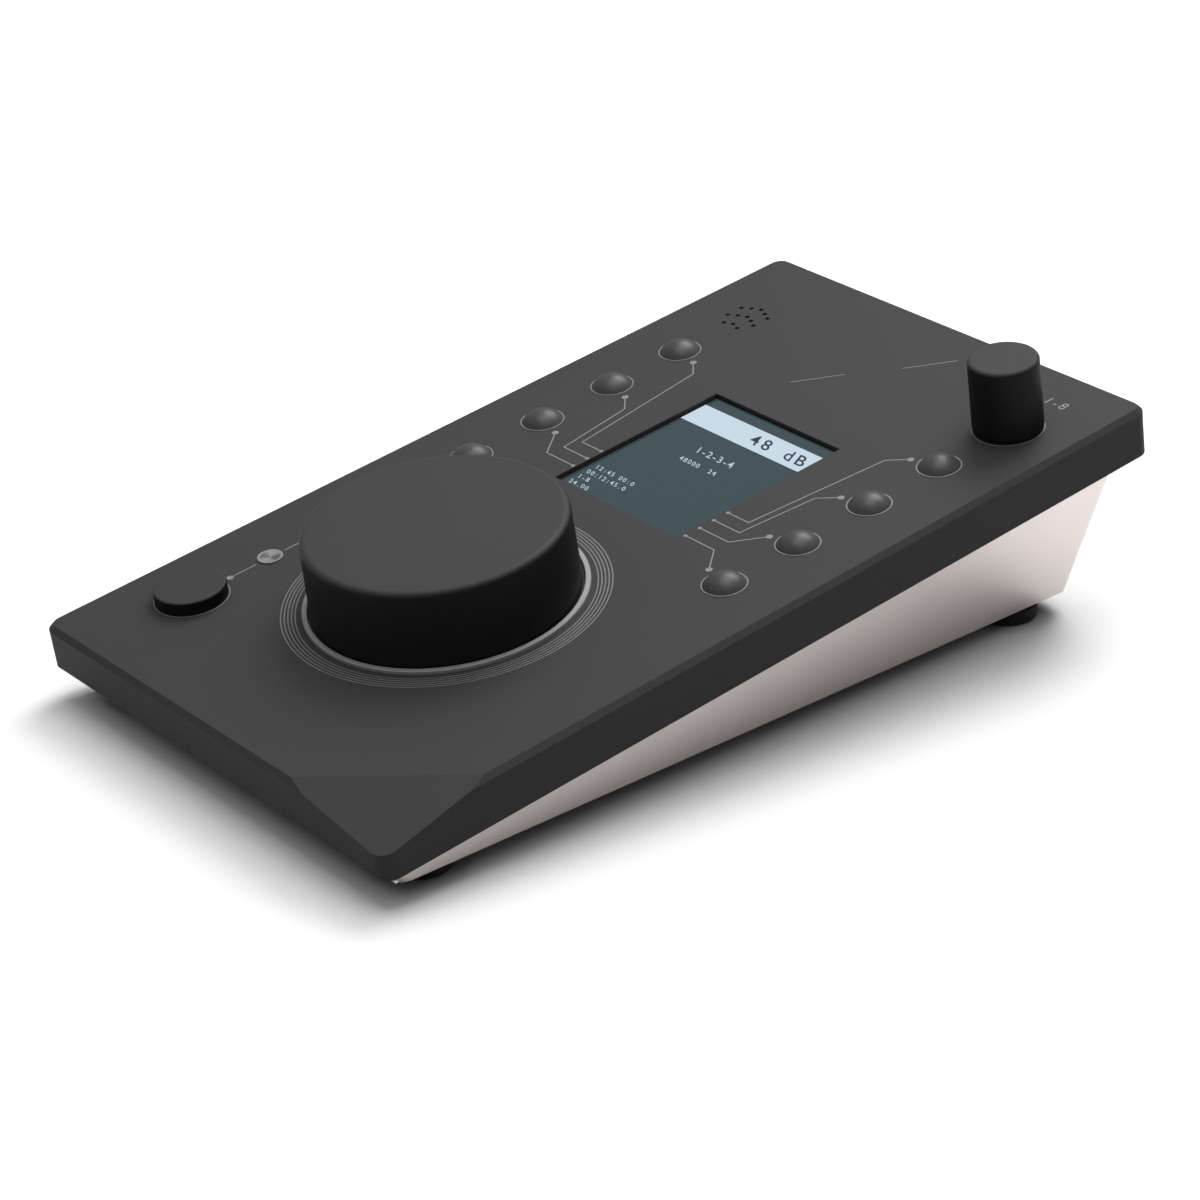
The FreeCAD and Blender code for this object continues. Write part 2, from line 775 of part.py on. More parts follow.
def make_base_shell():
    """The open wedge between top plate and bottom cover, with its ledge, bosses and rear openings."""
    body = new_body("base_shell")
    depth = S.base_depth + TILT_TAN * S.panel_length - S.skirt_depth
    for kind, inset in (
        ("PartDesign::AdditiveLoft", S.base_inset),
        ("PartDesign::SubtractiveLoft", S.base_inset + S.base_wall),
    ):
        upper = new_sketch(body, rise=-S.skirt_depth)
        outline(upper, base_outline(dim(0), inset))
        lower = new_sketch(body, rise=-S.skirt_depth - depth)
        outline(lower, base_outline(depth, inset))
        loft(body, [upper, lower], kind)
        if kind == "PartDesign::AdditiveLoft":
            dress(
                body, "PartDesign::Fillet", "Radius", S.base_corner_radius,
                lambda edge: abs(edge.Vertexes[0].Z - edge.Vertexes[-1].Z) > SIZES["skirt_depth"],
            )

    ledge = new_sketch(body, rise=-S.skirt_depth)
    outline(ledge, base_outline(dim(0), S.base_inset + S.base_wall / 2))
    outline(ledge, base_outline(dim(0), S.ledge_width))
    pad(body, ledge, S.ledge_thickness, down=True)
    for x, y in COVER_SCREWS:
        panel_y = panel_y_under(y)
        stud(
            body, S.boss_radius, S.cover_boss_height,
            x, panel_y, -S.base_depth - TILT_TAN * panel_y, tilt=-S.panel_tilt,
        )
    cut_below_base(body)
    for x, y in COVER_SCREWS:
        panel_y = panel_y_under(y)
        bore(
            body, S.screw_radius, S.cover_boss_height - 0.6,
            x, panel_y, -S.base_depth - TILT_TAN * panel_y, tilt=-S.panel_tilt,
        )
    holes = new_sketch(body, rise=-S.skirt_depth)
    for x, y in PANEL_SCREWS:
        circle(holes, x, y, S.screw_radius + S.screw_clearance)
    pocket(body, holes, S.ledge_thickness)
    for x, width, height in (
        (S.socket_x, S.socket_width, S.socket_height),
        (-S.inlet_x, S.inlet_width, S.inlet_height),
    ):
        opening_height = height + 2 * S.cutout_clearance
        low_y = REAR_FACE - 10
        low_z = REAR_BOARD_TOP - S.cutout_clearance
        box = body.newObject("PartDesign::SubtractiveBox", "Cutout")
        bind(box, "Length", width + 2 * S.cutout_clearance)
        bind(box, "Width", 20)
        bind(box, "Height", opening_height)
        turn_and_place(
            box, (0, 0, 1), -S.panel_tilt,
            x - width / 2 - S.cutout_clearance,
            (low_y - FRONT_Y) * TILT_COS + (low_z - FRONT_Z) * TILT_SIN,
            (low_z - FRONT_Z) * TILT_COS - (low_y - FRONT_Y) * TILT_SIN,
        )
    return on_panel(body)


REAR_BOARD_TOP = COVER_TOP + S.rear_board_rise + S.board_thickness
REAR_LEAN = S.base_rear_lean - S.panel_tilt
REAR_FACE = BASE_REAR + tangent(REAR_LEAN) * (REAR_BOARD_TOP + S.socket_height - COVER_TOP)
REAR_BOARD_REAR = REAR_FACE - S.base_wall / cosine(REAR_LEAN) - S.rear_board_gap
REAR_BOARD_FRONT = REAR_BOARD_REAR - S.rear_board_length


def make_bottom_cover():
    """The sheet that closes the base from below."""
    body = new_body("bottom_cover")
    sketch = new_sketch(body)
    front, rear = BASE_FRONT + S.cover_inset, BASE_REAR - S.cover_inset
    outline(
        sketch,
        [
            (-base_half_width(front) + S.cover_inset, front),
            (base_half_width(front) - S.cover_inset, front),
            (base_half_width(rear) - S.cover_inset, rear),
            (-base_half_width(rear) + S.cover_inset, rear),
        ],
    )
    pad(body, sketch, S.cover_thickness)
    dress(
        body, "PartDesign::Fillet", "Radius", S.cover_corner_radius,
        lambda edge: abs(edge.Vertexes[0].Z - edge.Vertexes[-1].Z) > SIZES["cover_thickness"] / 2,
    )
    for radius, taper, deep in (
        (S.screw_radius + S.screw_clearance, None, S.cover_thickness),
        (2 * S.screw_radius + S.screw_clearance, dim(-45), S.screw_radius),
    ):
        holes = new_sketch(body)
        for x, y in COVER_SCREWS:
            circle(holes, x, y, radius)
        pocket(body, holes, deep, up=True, taper=taper)
    return on_desk(body, z=S.foot_height)


def make_cover_screws():
    """Countersunk screws through the cover into the base's bosses."""
    body = new_body("cover_screws")
    for radius, length, taper in (
        (S.screw_radius - S.close_fit, S.cover_thickness + S.cover_boss_height - 1, None),
        (2 * S.screw_radius, S.screw_radius, dim(-45)),
    ):
        sketch = new_sketch(body)
        for x, y in COVER_SCREWS:
            circle(sketch, x, y, radius)
        pad(body, sketch, length, taper=taper)
    return on_desk(body, z=S.foot_height)


def make_foot(label, side, inset, y):
    """A round rubber foot with a softened lower edge, at a distance from the base's side."""
    edge = S.foot_edge_radius
    body = turned(
        label,
        [
            (0, 0),
            (S.foot_radius - edge, 0),
            (S.foot_radius, edge),
            (S.foot_radius, S.foot_height),
            (0, S.foot_height),
        ],
        {1: edge},
    )
    return on_desk(body, side * (base_half_width(y) - inset), y)


def make_feet():
    ends = (
        ("front", S.foot_front_side, BASE_FRONT + S.foot_end_inset),
        ("rear", S.foot_rear_side, BASE_REAR - S.foot_end_inset),
    )
    return [
        make_foot(f"foot_{end}_{hand}", side, inset, y)
        for end, inset, y in ends
        for hand, side in (("left", -1), ("right", 1))
    ]


def make_panel_screws():
    """Pan-head screws that pull the top plate down on the base's ledge."""
    under = -S.skirt_depth - S.ledge_thickness
    return pan_head_screws(
        "panel_screws", PANEL_SCREWS, under, S.ledge_thickness + S.panel_screw_reach
    )


def pan_head_screws(label, spots, under, reach):
    """Screws that point up, with their heads below the given level."""
    body = rings(label, spots, S.screw_radius - S.close_fit, None, under, reach)
    heads = new_sketch(body, rise=under)
    for x, y in spots:
        circle(heads, x, y, S.screw_head_radius)
    pad(body, heads, S.screw_head_height, down=True)
    return on_panel(body)


# ---- boards inside --------------------------------------------------------------------------------------

def make_control_board():
    """The board that carries the switches, encoders, microphone and display ribbon."""
    body = new_body("control_board")
    x_at, y_at = facet_line(S.facet_margin - 1.5)
    sketch = new_sketch(body, rise=BOARD_BOTTOM)
    outline(
        sketch,
        [
            (-BOARD_HALF_WIDTH, S.board_front),
            (x_at(S.board_front), S.board_front),
            (BOARD_HALF_WIDTH, y_at(BOARD_HALF_WIDTH)),
            (BOARD_HALF_WIDTH, BOARD_REAR),
            (-BOARD_HALF_WIDTH, BOARD_REAR),
        ],
    )
    for x, y in STANDOFFS:
        circle(sketch, x, y, S.screw_radius + S.screw_clearance)
    pad(body, sketch, S.board_thickness)
    return on_panel(body)


def make_standoffs():
    """Spacers between the panel and the board."""
    length = S.board_level - S.panel_thickness
    return on_panel(
        rings("board_standoffs", STANDOFFS, S.standoff_radius, S.screw_radius, BOARD_TOP, length)
    )


def make_board_screws():
    return pan_head_screws("board_screws", STANDOFFS, BOARD_BOTTOM, S.board_thickness + 5)


def make_board_parts():
    """Chips and connectors on the board's underside and top."""
    body = new_body("board_parts")
    chips_y = S.volume_y - S.chip_side
    for x, y, width, length, height in (
        (0, chips_y, S.chip_side, S.chip_side, S.chip_height),
        (-2 * S.chip_side, chips_y, S.small_chip_side, S.small_chip_side, S.small_chip_height),
        (2 * S.chip_side, chips_y, S.small_chip_side, S.small_chip_side, S.small_chip_height),
        (0, HEADER_Y, S.header_width, S.header_length, S.header_height),
    ):
        sketch = new_sketch(body, rise=BOARD_BOTTOM)
        rectangle(sketch, x, y, width, length)
        pad(body, sketch, height, down=True)
    ribbon_socket = new_sketch(body, rise=BOARD_TOP)
    rectangle(
        ribbon_socket, 0, RIBBON_END + S.ribbon_socket_length / 2,
        S.ribbon_width + 2 * S.ribbon_bend, S.ribbon_socket_length,
    )
    pad(body, ribbon_socket, S.ribbon_socket_height)
    return on_panel(body)


def make_switches(label, spots):
    """Key switches under the push buttons, each open in the middle for the button's stem."""
    body = new_body(label)
    sketch = new_sketch(body, rise=BOARD_TOP)
    for x, y in spots:
        rectangle(sketch, x, y, S.switch_side, S.switch_side)
        circle(sketch, x, y, S.stem_radius + S.shaft_fit)
    pad(body, sketch, S.switch_height)
    return on_panel(body)


# ---- display --------------------------------------------------------------------------------------------

SCREEN_TOP = -S.lens_sink - S.lens_thickness
SCREEN_BOTTOM = SCREEN_TOP - S.screen_thickness
FRAME_BOTTOM = -S.panel_thickness - S.frame_depth
FRAME_LENGTH = LENS_SEAT_LENGTH + 2 * S.frame_wall
FRAME_WIDTH = LENS_SEAT_WIDTH + 2 * S.frame_wall
RIBBON_END = WINDOW_Y + FRAME_LENGTH / 2 + S.ribbon_run


def make_lens():
    """The clear window, let into the panel's underside."""
    return block(
        "display_lens",
        (-LENS_WIDTH / 2, LENS_WIDTH / 2),
        (WINDOW_Y - LENS_LENGTH / 2, WINDOW_Y + LENS_LENGTH / 2),
        (SCREEN_TOP, -S.lens_sink),
        on_panel,
    )


def make_screen():
    return block(
        "display_screen",
        (-LENS_WIDTH / 2, LENS_WIDTH / 2),
        (WINDOW_Y - LENS_LENGTH / 2, WINDOW_Y + LENS_LENGTH / 2),
        (SCREEN_BOTTOM, SCREEN_TOP),
        on_panel,
    )


def make_display_pad():
    """The foam that presses the screen up against the lens."""
    return block(
        "display_pad",
        (-LENS_WIDTH / 2 + S.pad_margin, LENS_WIDTH / 2 - S.pad_margin),
        (WINDOW_Y - LENS_LENGTH / 2 + S.pad_margin, WINDOW_Y + LENS_LENGTH / 2 - S.pad_ribbon_gap),
        (BOARD_TOP, SCREEN_BOTTOM),
        on_panel,
    )


def make_display_frame():
    """The moulded frame round the screen, notched at the back for the ribbon."""
    body = new_body("display_frame")
    sketch = new_sketch(body, rise=FRAME_BOTTOM)
    rectangle(sketch, 0, WINDOW_Y, FRAME_WIDTH, FRAME_LENGTH)
    rectangle(sketch, 0, WINDOW_Y, LENS_SEAT_WIDTH, LENS_SEAT_LENGTH)
    pad(body, sketch, S.frame_depth)
    notch = new_sketch(body, rise=FRAME_BOTTOM)
    rectangle(
        notch, 0, WINDOW_Y + FRAME_LENGTH / 2, S.ribbon_width + S.ribbon_bend, 4 * S.frame_wall
    )
    pocket(body, notch, SCREEN_BOTTOM - FRAME_BOTTOM + S.screen_clearance, up=True)
    return on_panel(body)


def make_ribbon():
    """The flat cable from the screen's back down to its socket on the board."""
    body = new_body("display_ribbon")
    sketch = new_sketch(body, "YZ_Plane")
    start = WINDOW_Y + LENS_LENGTH / 2 - S.ribbon_tab
    bend = WINDOW_Y + FRAME_LENGTH / 2 + S.ribbon_bend / 2
    low = BOARD_TOP + (S.ribbon_socket_height - S.ribbon_thickness) / 2
    outline(
        sketch,
        [
            (start, SCREEN_BOTTOM - S.ribbon_thickness),
            (bend, SCREEN_BOTTOM - S.ribbon_thickness),
            (bend + S.ribbon_bend, low),
            (RIBBON_END, low),
            (RIBBON_END, low + S.ribbon_thickness),
            (bend + S.ribbon_bend + S.ribbon_thickness, low + S.ribbon_thickness),
            (bend + S.ribbon_thickness, SCREEN_BOTTOM),
            (start, SCREEN_BOTTOM),
        ],
    )
    pad(body, sketch, S.ribbon_width, symmetric=True)
    return on_panel(body)


# ---- knobs ----------------------------------------------------------------------------------------------

def make_encoder(label, x, y, side, bush, well):
    """A panel encoder: a square body on the board, and a threaded bush through the panel."""
    body = new_body(label)
    sketch = new_sketch(body, rise=BOARD_TOP)
    rectangle(sketch, 0, 0, side, side)
    pad(body, sketch, S.board_level - S.panel_thickness)
    neck = new_sketch(body, rise=-S.panel_thickness)
    circle(neck, 0, 0, bush)
    pad(body, neck, S.panel_thickness + S.bush_height)
    bore(body, S.shaft_radius + S.shaft_fit, well + S.bush_height, 0, 0, -well)
    return on_panel(body, x, y)


def make_nut(label, x, y, flats, bush, washer):
    """The nut and washer that clamp the bush on the panel's top face."""
    body = rings(label, [(0, 0)], washer, bush + S.close_fit, 0, S.washer_thickness)
    sketch = new_sketch(body, rise=S.washer_thickness)
    corner = flats / math.sqrt(3)
    outline(
        sketch,
        [
            (corner, 0),
            (corner / 2, flats / 2),
            (-corner / 2, flats / 2),
            (-corner, 0),
            (-corner / 2, -flats / 2),
            (corner / 2, -flats / 2),
        ],
    )
    circle(sketch, 0, 0, bush + S.close_fit)
    pad(body, sketch, S.nut_height)
    return on_panel(body, x, y)


def make_shaft(label, x, y, bottom, top, flat_from):
    """An encoder shaft with a flat for the grub screw."""
    body = turned(label, [(0, bottom), (S.shaft_radius, bottom), (S.shaft_radius, top), (0, top)])
    flat = new_sketch(body, rise=flat_from)
    rectangle(flat, 0, 2 * S.shaft_radius - S.shaft_flat, 4 * S.shaft_radius, 2 * S.shaft_radius)
    pocket(body, flat, top - flat_from, up=True)
    return on_panel(body, x, y)


def make_grub_screw(label, x, y, level, length):
    """The screw that bears on the shaft's flat."""
    body = new_body(label)
    sketch = new_sketch(body, "XZ_Plane", rise=-(S.shaft_radius - S.shaft_flat))
    circle(sketch, 0, level, S.screw_radius - S.close_fit)
    pad(body, sketch, length, down=True)
    return on_panel(body, x, y)


VOLUME_SHAFT_TOP = S.volume_height - S.volume_crown + 1
VOLUME_GRUB_LEVEL = S.hub_lift + 4.5


def make_volume_knob():
    """The large turned knob: a deep cup with a bored hub."""
    edge = S.volume_edge_radius
    ceiling = S.volume_height - S.volume_crown
    body = turned(
        "volume_knob",
        [
            (S.shaft_radius + S.close_fit, S.hub_lift),
            (S.hub_radius, S.hub_lift),
            (S.hub_radius, ceiling),
            (S.volume_radius - S.volume_wall, ceiling),
            (S.volume_radius - S.volume_wall, S.volume_lift),
            (S.volume_radius, S.volume_lift),
            (S.volume_top_radius, S.volume_height - edge),
            (S.volume_top_radius - edge, S.volume_height),
            (0, S.volume_height),
            (0, VOLUME_SHAFT_TOP),
            (S.shaft_radius + S.close_fit, VOLUME_SHAFT_TOP),
        ],
        {6: edge},
    )
    bore(body, S.screw_radius, S.volume_radius + 1, 0, 0, VOLUME_GRUB_LEVEL, axis=(0, 1, 0))
    return on_panel(body, 0, S.volume_y)


def make_trim_ring():
    """The bright ring let into the panel round the volume knob."""
    inner = S.trim_inner_radius
    outer = inner + S.trim_width
    ease = 0.2
    body = turned(
        "volume_trim_ring",
        [
            (inner, -S.trim_sink),
            (outer, -S.trim_sink),
            (outer, S.trim_height - ease),
            (outer - ease, S.trim_height),
            (inner + ease, S.trim_height),
            (inner, S.trim_height - ease),
        ],
    )
    return on_panel(body, 0, S.volume_y)


SELECT_SHAFT_TOP = S.select_height - 3
SELECT_WELL = S.board_level - 0.6
SELECT_GRUB_LEVEL = S.select_lift + 10


def make_select_knob():
    """The small turned knob, bored from below."""
    edge = S.select_edge_radius
    body = turned(
        "select_knob",
        [
            (S.shaft_radius + S.close_fit, S.bush_height + 2),
            (S.select_hub_radius + 1, S.bush_height + 2),
            (S.select_hub_radius + 1, S.select_lift),
            (S.select_radius, S.select_lift),
            (S.select_top_radius, S.select_height - edge),
            (S.select_top_radius - edge, S.select_height),
            (0, S.select_height),
            (0, SELECT_SHAFT_TOP),
            (S.shaft_radius + S.close_fit, SELECT_SHAFT_TOP),
        ],
        {4: edge},
    )
    bore(body, S.screw_radius, S.select_radius + 1, 0, 0, SELECT_GRUB_LEVEL, axis=(0, 1, 0))
    return on_panel(body, SELECT_X, SELECT_Y)


# ---- push buttons ---------------------------------------------------------------------------------------

def button_foot():
    """Flange and stem below a push button, from the axis outwards: shared profile points."""
    flange_top = -S.panel_thickness - S.flange_gap
    flange_bottom = flange_top - S.flange_thickness
    stem_bottom = BOARD_TOP + S.press_travel + 0.4
    return flange_top, flange_bottom, stem_bottom


def make_dome(label, x, y):
    """A push button with a domed cap, held under the panel by its flange."""
    flange_top, flange_bottom, stem_bottom = button_foot()
    radius = S.dome_radius
    rise = S.dome_height - S.dome_rim
    sphere = (radius * radius + rise * rise) / (2 * rise)
    body = turned(
        label,
        [
            (0, stem_bottom),
            (S.stem_radius, stem_bottom),
            (S.stem_radius, flange_bottom),
            (radius + S.flange_width, flange_bottom),
            (radius + S.flange_width, flange_top),
            (radius, flange_top),
            (radius, S.dome_rim),
            (0, S.dome_height),
        ],
        {6: sphere},
    )
    return on_panel(body, x, y)


def make_domes():
    names = [f"dome_{hand}_{row + 1}" for hand in ("left", "right") for row in range(SIZES["dome_count"])]
    return [make_dome(name, x, y) for name, (x, y) in zip(names, DOMES)]


def make_round_button():
    """The flat round push button at the front left."""
    flange_top, flange_bottom, stem_bottom = button_foot()
    radius, edge = S.button_radius, S.button_edge_radius
    body = turned(
        "round_button",
        [
            (0, stem_bottom),
            (S.stem_radius, stem_bottom),
            (S.stem_radius, flange_bottom),
            (radius + S.flange_width, flange_bottom),
            (radius + S.flange_width, flange_top),
            (radius, flange_top),
            (radius, S.button_height - edge),
            (radius - edge, S.button_height),
            (0, S.button_height),
        ],
        {6: edge},
    )
    return on_panel(body, BUTTON_X, S.button_front)


def make_status_disc():
    """The small dished disc let into the panel between the round button and the volume knob."""
    body = turned(
        "status_disc",
        [
            (0, -S.disc_sink),
            (S.disc_radius - S.close_fit, -S.disc_sink),
            (S.disc_radius - S.close_fit, S.disc_proud),
            (S.disc_radius - S.disc_rim, S.disc_proud),
            (0, S.disc_proud - S.disc_dish),
        ],
    )
    return on_panel(body, BUTTON_X, S.disc_front)


def make_microphone():
    """The capsule on the board, under the sound holes."""
    top = -S.panel_thickness - S.gasket_thickness
    body = rings("microphone", [(0, 0)], S.microphone_radius, None, BOARD_TOP, top - BOARD_TOP)
    inlet = new_sketch(body, rise=top)
    circle(inlet, 0, 0, S.microphone_radius - 1.2)
    pocket(body, inlet, 0.6)
    return on_panel(body, BUTTON_X, MICROPHONE_Y)


def make_microphone_gasket():
    body = rings(
        "microphone_gasket", [(0, 0)], S.gasket_radius, S.microphone_radius - 0.5,
        -S.panel_thickness - S.gasket_thickness, S.gasket_thickness,
    )
    return on_panel(body, BUTTON_X, MICROPHONE_Y)


# ---- rear connectors ------------------------------------------------------------------------------------

REAR_POSTS = [
    (side * (S.rear_board_width / 2 - S.rear_post_side), y)
    for side in (-1, 1)
    for y in (REAR_BOARD_FRONT + S.rear_post_end, REAR_BOARD_REAR - S.rear_post_end)
]


def make_rear_board():
    body = new_body("rear_board")
    sketch = new_sketch(body)
    rectangle(
        sketch, 0, (REAR_BOARD_FRONT + REAR_BOARD_REAR) / 2, S.rear_board_width, S.rear_board_length
    )
    for x, y in REAR_POSTS:
        circle(sketch, x, y, S.screw_radius + S.screw_clearance)
    pad(body, sketch, S.board_thickness)
    return on_desk(body, z=REAR_BOARD_TOP - S.board_thickness)


def make_rear_posts():
    """Threaded posts on the bottom cover that carry the rear board."""
    body = rings("rear_board_posts", REAR_POSTS, S.standoff_radius, S.screw_radius, 0, S.rear_board_rise)
    return on_desk(body, z=COVER_TOP)


def make_rear_screws():
    body = rings(
        "rear_board_screws", REAR_POSTS, S.screw_radius - S.close_fit, None,
        -(S.board_thickness + S.rear_board_rise - 1), S.board_thickness + S.rear_board_rise - 1,
    )
    heads = new_sketch(body)
    for x, y in REAR_POSTS:
        circle(heads, x, y, S.screw_head_radius)
    pad(body, heads, S.screw_head_height)
    return on_desk(body, z=REAR_BOARD_TOP)


def make_link_socket():
    """The eight-way modular socket for the link to the main unit, open to the rear."""
    body = new_body("link_socket")
    sketch = new_sketch(body)
    rectangle(sketch, 0, -S.socket_length / 2, S.socket_width, S.socket_length)
    pad(body, sketch, S.socket_height)
    mouth_top = S.socket_floor + S.socket_mouth_height
    for width, low, high in (
        (S.socket_mouth_width, S.socket_floor, mouth_top),
        (S.latch_width, mouth_top - S.close_fit, mouth_top + S.latch_height),
    ):
        mouth = new_sketch(body, "XZ_Plane")
        rectangle(mouth, 0, (low + high) / 2, width, high - low)
        pocket(body, mouth, S.socket_mouth_depth, up=True)
    return on_desk(body, S.socket_x, REAR_FACE, REAR_BOARD_TOP)


def make_link_contacts():
    """Eight sprung contacts on the socket's floor."""
    body = new_body("link_contacts")
    sketch = new_sketch(body)
    for number in range(8):
        x = (number - 3.5) * S.contact_pitch
        rectangle(sketch, x, S.contact_length / 2 - S.socket_mouth_depth, S.contact_width, S.contact_length)
    pad(body, sketch, S.contact_thickness)
    return on_desk(body, S.socket_x, REAR_FACE, REAR_BOARD_TOP + S.socket_floor)


def make_power_inlet():
    """The small oval power inlet: a drawn shell with a tongue inside."""
    body = new_body("power_inlet")
    wall = S.inlet_wall
    middle = S.inlet_height / 2
    flat = (S.inlet_width - S.inlet_height) / 2
    for height, length, make, options in (
        (S.inlet_height, S.inlet_length, pad, {}),
        (S.inlet_height - 2 * wall, S.inlet_length - S.inlet_back, pocket, {"up": True}),
    ):
        middle_part = new_sketch(body, "XZ_Plane")
        rectangle(middle_part, 0, middle, 2 * flat, height)
        make(body, middle_part, length, **options)
        ends = new_sketch(body, "XZ_Plane")
        circle(ends, -flat, middle, height / 2)
        circle(ends, flat, middle, height / 2)
        make(body, ends, length, **options)
    tongue = new_sketch(body, "XZ_Plane", rise=S.tongue_recess)
    rectangle(tongue, 0, middle, S.tongue_width, S.tongue_thickness)
    pad(body, tongue, S.inlet_length - S.inlet_back)
    return on_desk(body, -S.inlet_x, REAR_FACE, REAR_BOARD_TOP)


LINK_HEADER_FRONT = REAR_BOARD_FRONT + S.rear_board_gap


def make_link_ribbon():
    """The internal ribbon from the control board down to the rear board."""
    body = new_body("link_ribbon")
    header_z = BOARD_BOTTOM - S.header_height
    foot_y = LINK_HEADER_FRONT + (S.header_length - S.link_ribbon_thickness) / 2
    foot_z = REAR_BOARD_TOP + S.header_height
    ends = [(foot_y, foot_z), (foot_y + S.link_ribbon_thickness, foot_z)]
    for y in (HEADER_Y + S.link_ribbon_thickness, HEADER_Y):
        ends.append(
            (
                FRONT_Y + y * TILT_COS - header_z * TILT_SIN,
                FRONT_Z + y * TILT_SIN + header_z * TILT_COS,
            )
        )
    sketch = new_sketch(body, "YZ_Plane")
    outline(sketch, ends)
    pad(body, sketch, S.link_ribbon_width, symmetric=True)
    return on_desk(body)


def make_link_header():
    """The ribbon's connector on the rear board."""
    return block(
        "link_header",
        (-S.header_width / 2, S.header_width / 2),
        (LINK_HEADER_FRONT, LINK_HEADER_FRONT + S.header_length),
        (REAR_BOARD_TOP, REAR_BOARD_TOP + S.header_height),
        on_desk,
    )


# ---- assembly -------------------------------------------------------------------------------------------

pieces = [
    make_top_plate(),
    make_base_shell(),
    make_bottom_cover(),
    make_cover_screws(),
    *make_feet(),
    make_panel_screws(),
    make_control_board(),
    make_standoffs(),
    make_board_screws(),
    make_board_parts(),
    make_switches("dome_switches", DOMES),
    make_switches("round_button_switch", [(BUTTON_X, S.button_front)]),
    make_lens(),
    make_screen(),
    make_display_pad(),
    make_display_frame(),
    make_ribbon(),
    make_encoder("volume_encoder", 0, S.volume_y, S.encoder_side, S.bush_radius, S.board_level - 1),
    make_nut("volume_nut", 0, S.volume_y, S.nut_flats, S.bush_radius, S.washer_radius),
    make_shaft("volume_shaft", 0, S.volume_y, -S.board_level + 1.5, VOLUME_SHAFT_TOP, S.hub_lift),
    make_volume_knob(),
    make_grub_screw("volume_grub_screw", 0, S.volume_y, VOLUME_GRUB_LEVEL, 5),
    make_trim_ring(),
    make_encoder(
        "select_encoder", SELECT_X, SELECT_Y, S.select_encoder_side, S.select_bush_radius, SELECT_WELL
    ),
    make_nut(
        "select_nut", SELECT_X, SELECT_Y, S.select_nut_flats, S.select_bush_radius, S.select_hub_radius
    ),
    on_panel(
        rings(
            "select_plunger", [(0, 0)], S.shaft_radius, None,
            -SELECT_WELL + S.press_travel + 0.2, dim(0.8),
        ),
        SELECT_X, SELECT_Y,
    ),
    make_shaft(
        "select_shaft", SELECT_X, SELECT_Y, -SELECT_WELL + S.press_travel + 1.0, SELECT_SHAFT_TOP,
        S.bush_height + 2,
    ),
    make_select_knob(),
    make_grub_screw("select_grub_screw", SELECT_X, SELECT_Y, SELECT_GRUB_LEVEL, 4),
    on_panel(
        rings(
            "select_ring", [(SELECT_X, SELECT_Y)], S.select_ring_radius + S.ring_width,
            S.select_ring_radius, -S.ring_sink, S.ring_sink + S.ring_proud,
        )
    ),
    make_round_button(),
    on_panel(
        rings(
            "round_button_ring", [(BUTTON_X, S.button_front)], BUTTON_HOLE + S.ring_width, BUTTON_HOLE,
            -S.ring_sink, S.ring_sink + S.ring_proud,
        )
    ),
    *make_domes(),
    on_panel(
        rings(
            "dome_rings", DOMES, DOME_HOLE + S.ring_width, DOME_HOLE, -S.ring_sink,
            S.ring_sink + S.ring_proud,
        )
    ),
    make_status_disc(),
    make_microphone(),
    make_microphone_gasket(),
    make_rear_board(),
    make_rear_posts(),
    make_rear_screws(),
    make_link_socket(),
    make_link_contacts(),
    make_power_inlet(),
    make_link_ribbon(),
    make_link_header(),
]
doc.recompute()

for obj in doc.Objects:
    if {"Invalid", "Error"} & set(obj.State):
        raise RuntimeError(f"{obj.Name} ({obj.Label}) failed: {obj.State}")
for piece in pieces:
    if piece.Shape.isNull() or not piece.Shape.isValid() or not piece.Shape.Solids:
        raise RuntimeError(f"{piece.Label} has no valid solid")

os.makedirs("parts", exist_ok=True)
for piece in pieces:
    piece.Shape.exportStep(os.path.join("parts", piece.Label + ".step"))
    size = piece.Shape.BoundBox
    extent = f"{size.XLength:.1f} x {size.YLength:.1f} x {size.ZLength:.1f}"
    print(f"{piece.Label}: {len(piece.Shape.Solids)} solid, {extent}")
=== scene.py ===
"""Finishes, printed lines, display picture and stage for the desktop studio monitor controller.

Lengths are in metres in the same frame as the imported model; sizes written in millimetres carry MM."""

import json
import math

import bmesh
import bpy
from bpy.props import FloatProperty, FloatVectorProperty, PointerProperty
from mathutils import Matrix, Vector


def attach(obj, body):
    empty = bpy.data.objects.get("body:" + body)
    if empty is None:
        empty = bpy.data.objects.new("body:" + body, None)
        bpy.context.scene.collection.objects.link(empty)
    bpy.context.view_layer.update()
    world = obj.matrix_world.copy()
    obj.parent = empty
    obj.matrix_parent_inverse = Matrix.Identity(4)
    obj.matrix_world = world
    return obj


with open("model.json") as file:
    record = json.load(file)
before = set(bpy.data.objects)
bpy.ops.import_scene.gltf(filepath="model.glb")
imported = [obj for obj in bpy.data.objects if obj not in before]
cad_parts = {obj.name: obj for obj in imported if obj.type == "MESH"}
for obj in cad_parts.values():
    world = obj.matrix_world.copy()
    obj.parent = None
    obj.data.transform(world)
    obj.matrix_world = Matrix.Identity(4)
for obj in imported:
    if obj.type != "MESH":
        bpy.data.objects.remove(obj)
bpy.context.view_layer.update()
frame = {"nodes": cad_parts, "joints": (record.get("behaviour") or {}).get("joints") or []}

bl_info = {
    "name": "Monitor Controller",
    "version": (1, 0, 0),
    "blender": (4, 5, 0),
    "location": "3D View > Sidebar > Controller",
    "description": "Finishes, printed lines, display and stage for a desktop studio monitor controller",
    "category": "Object",
}

MM = 0.001
JOINTS = {joint["name"]: joint for joint in frame["joints"]}

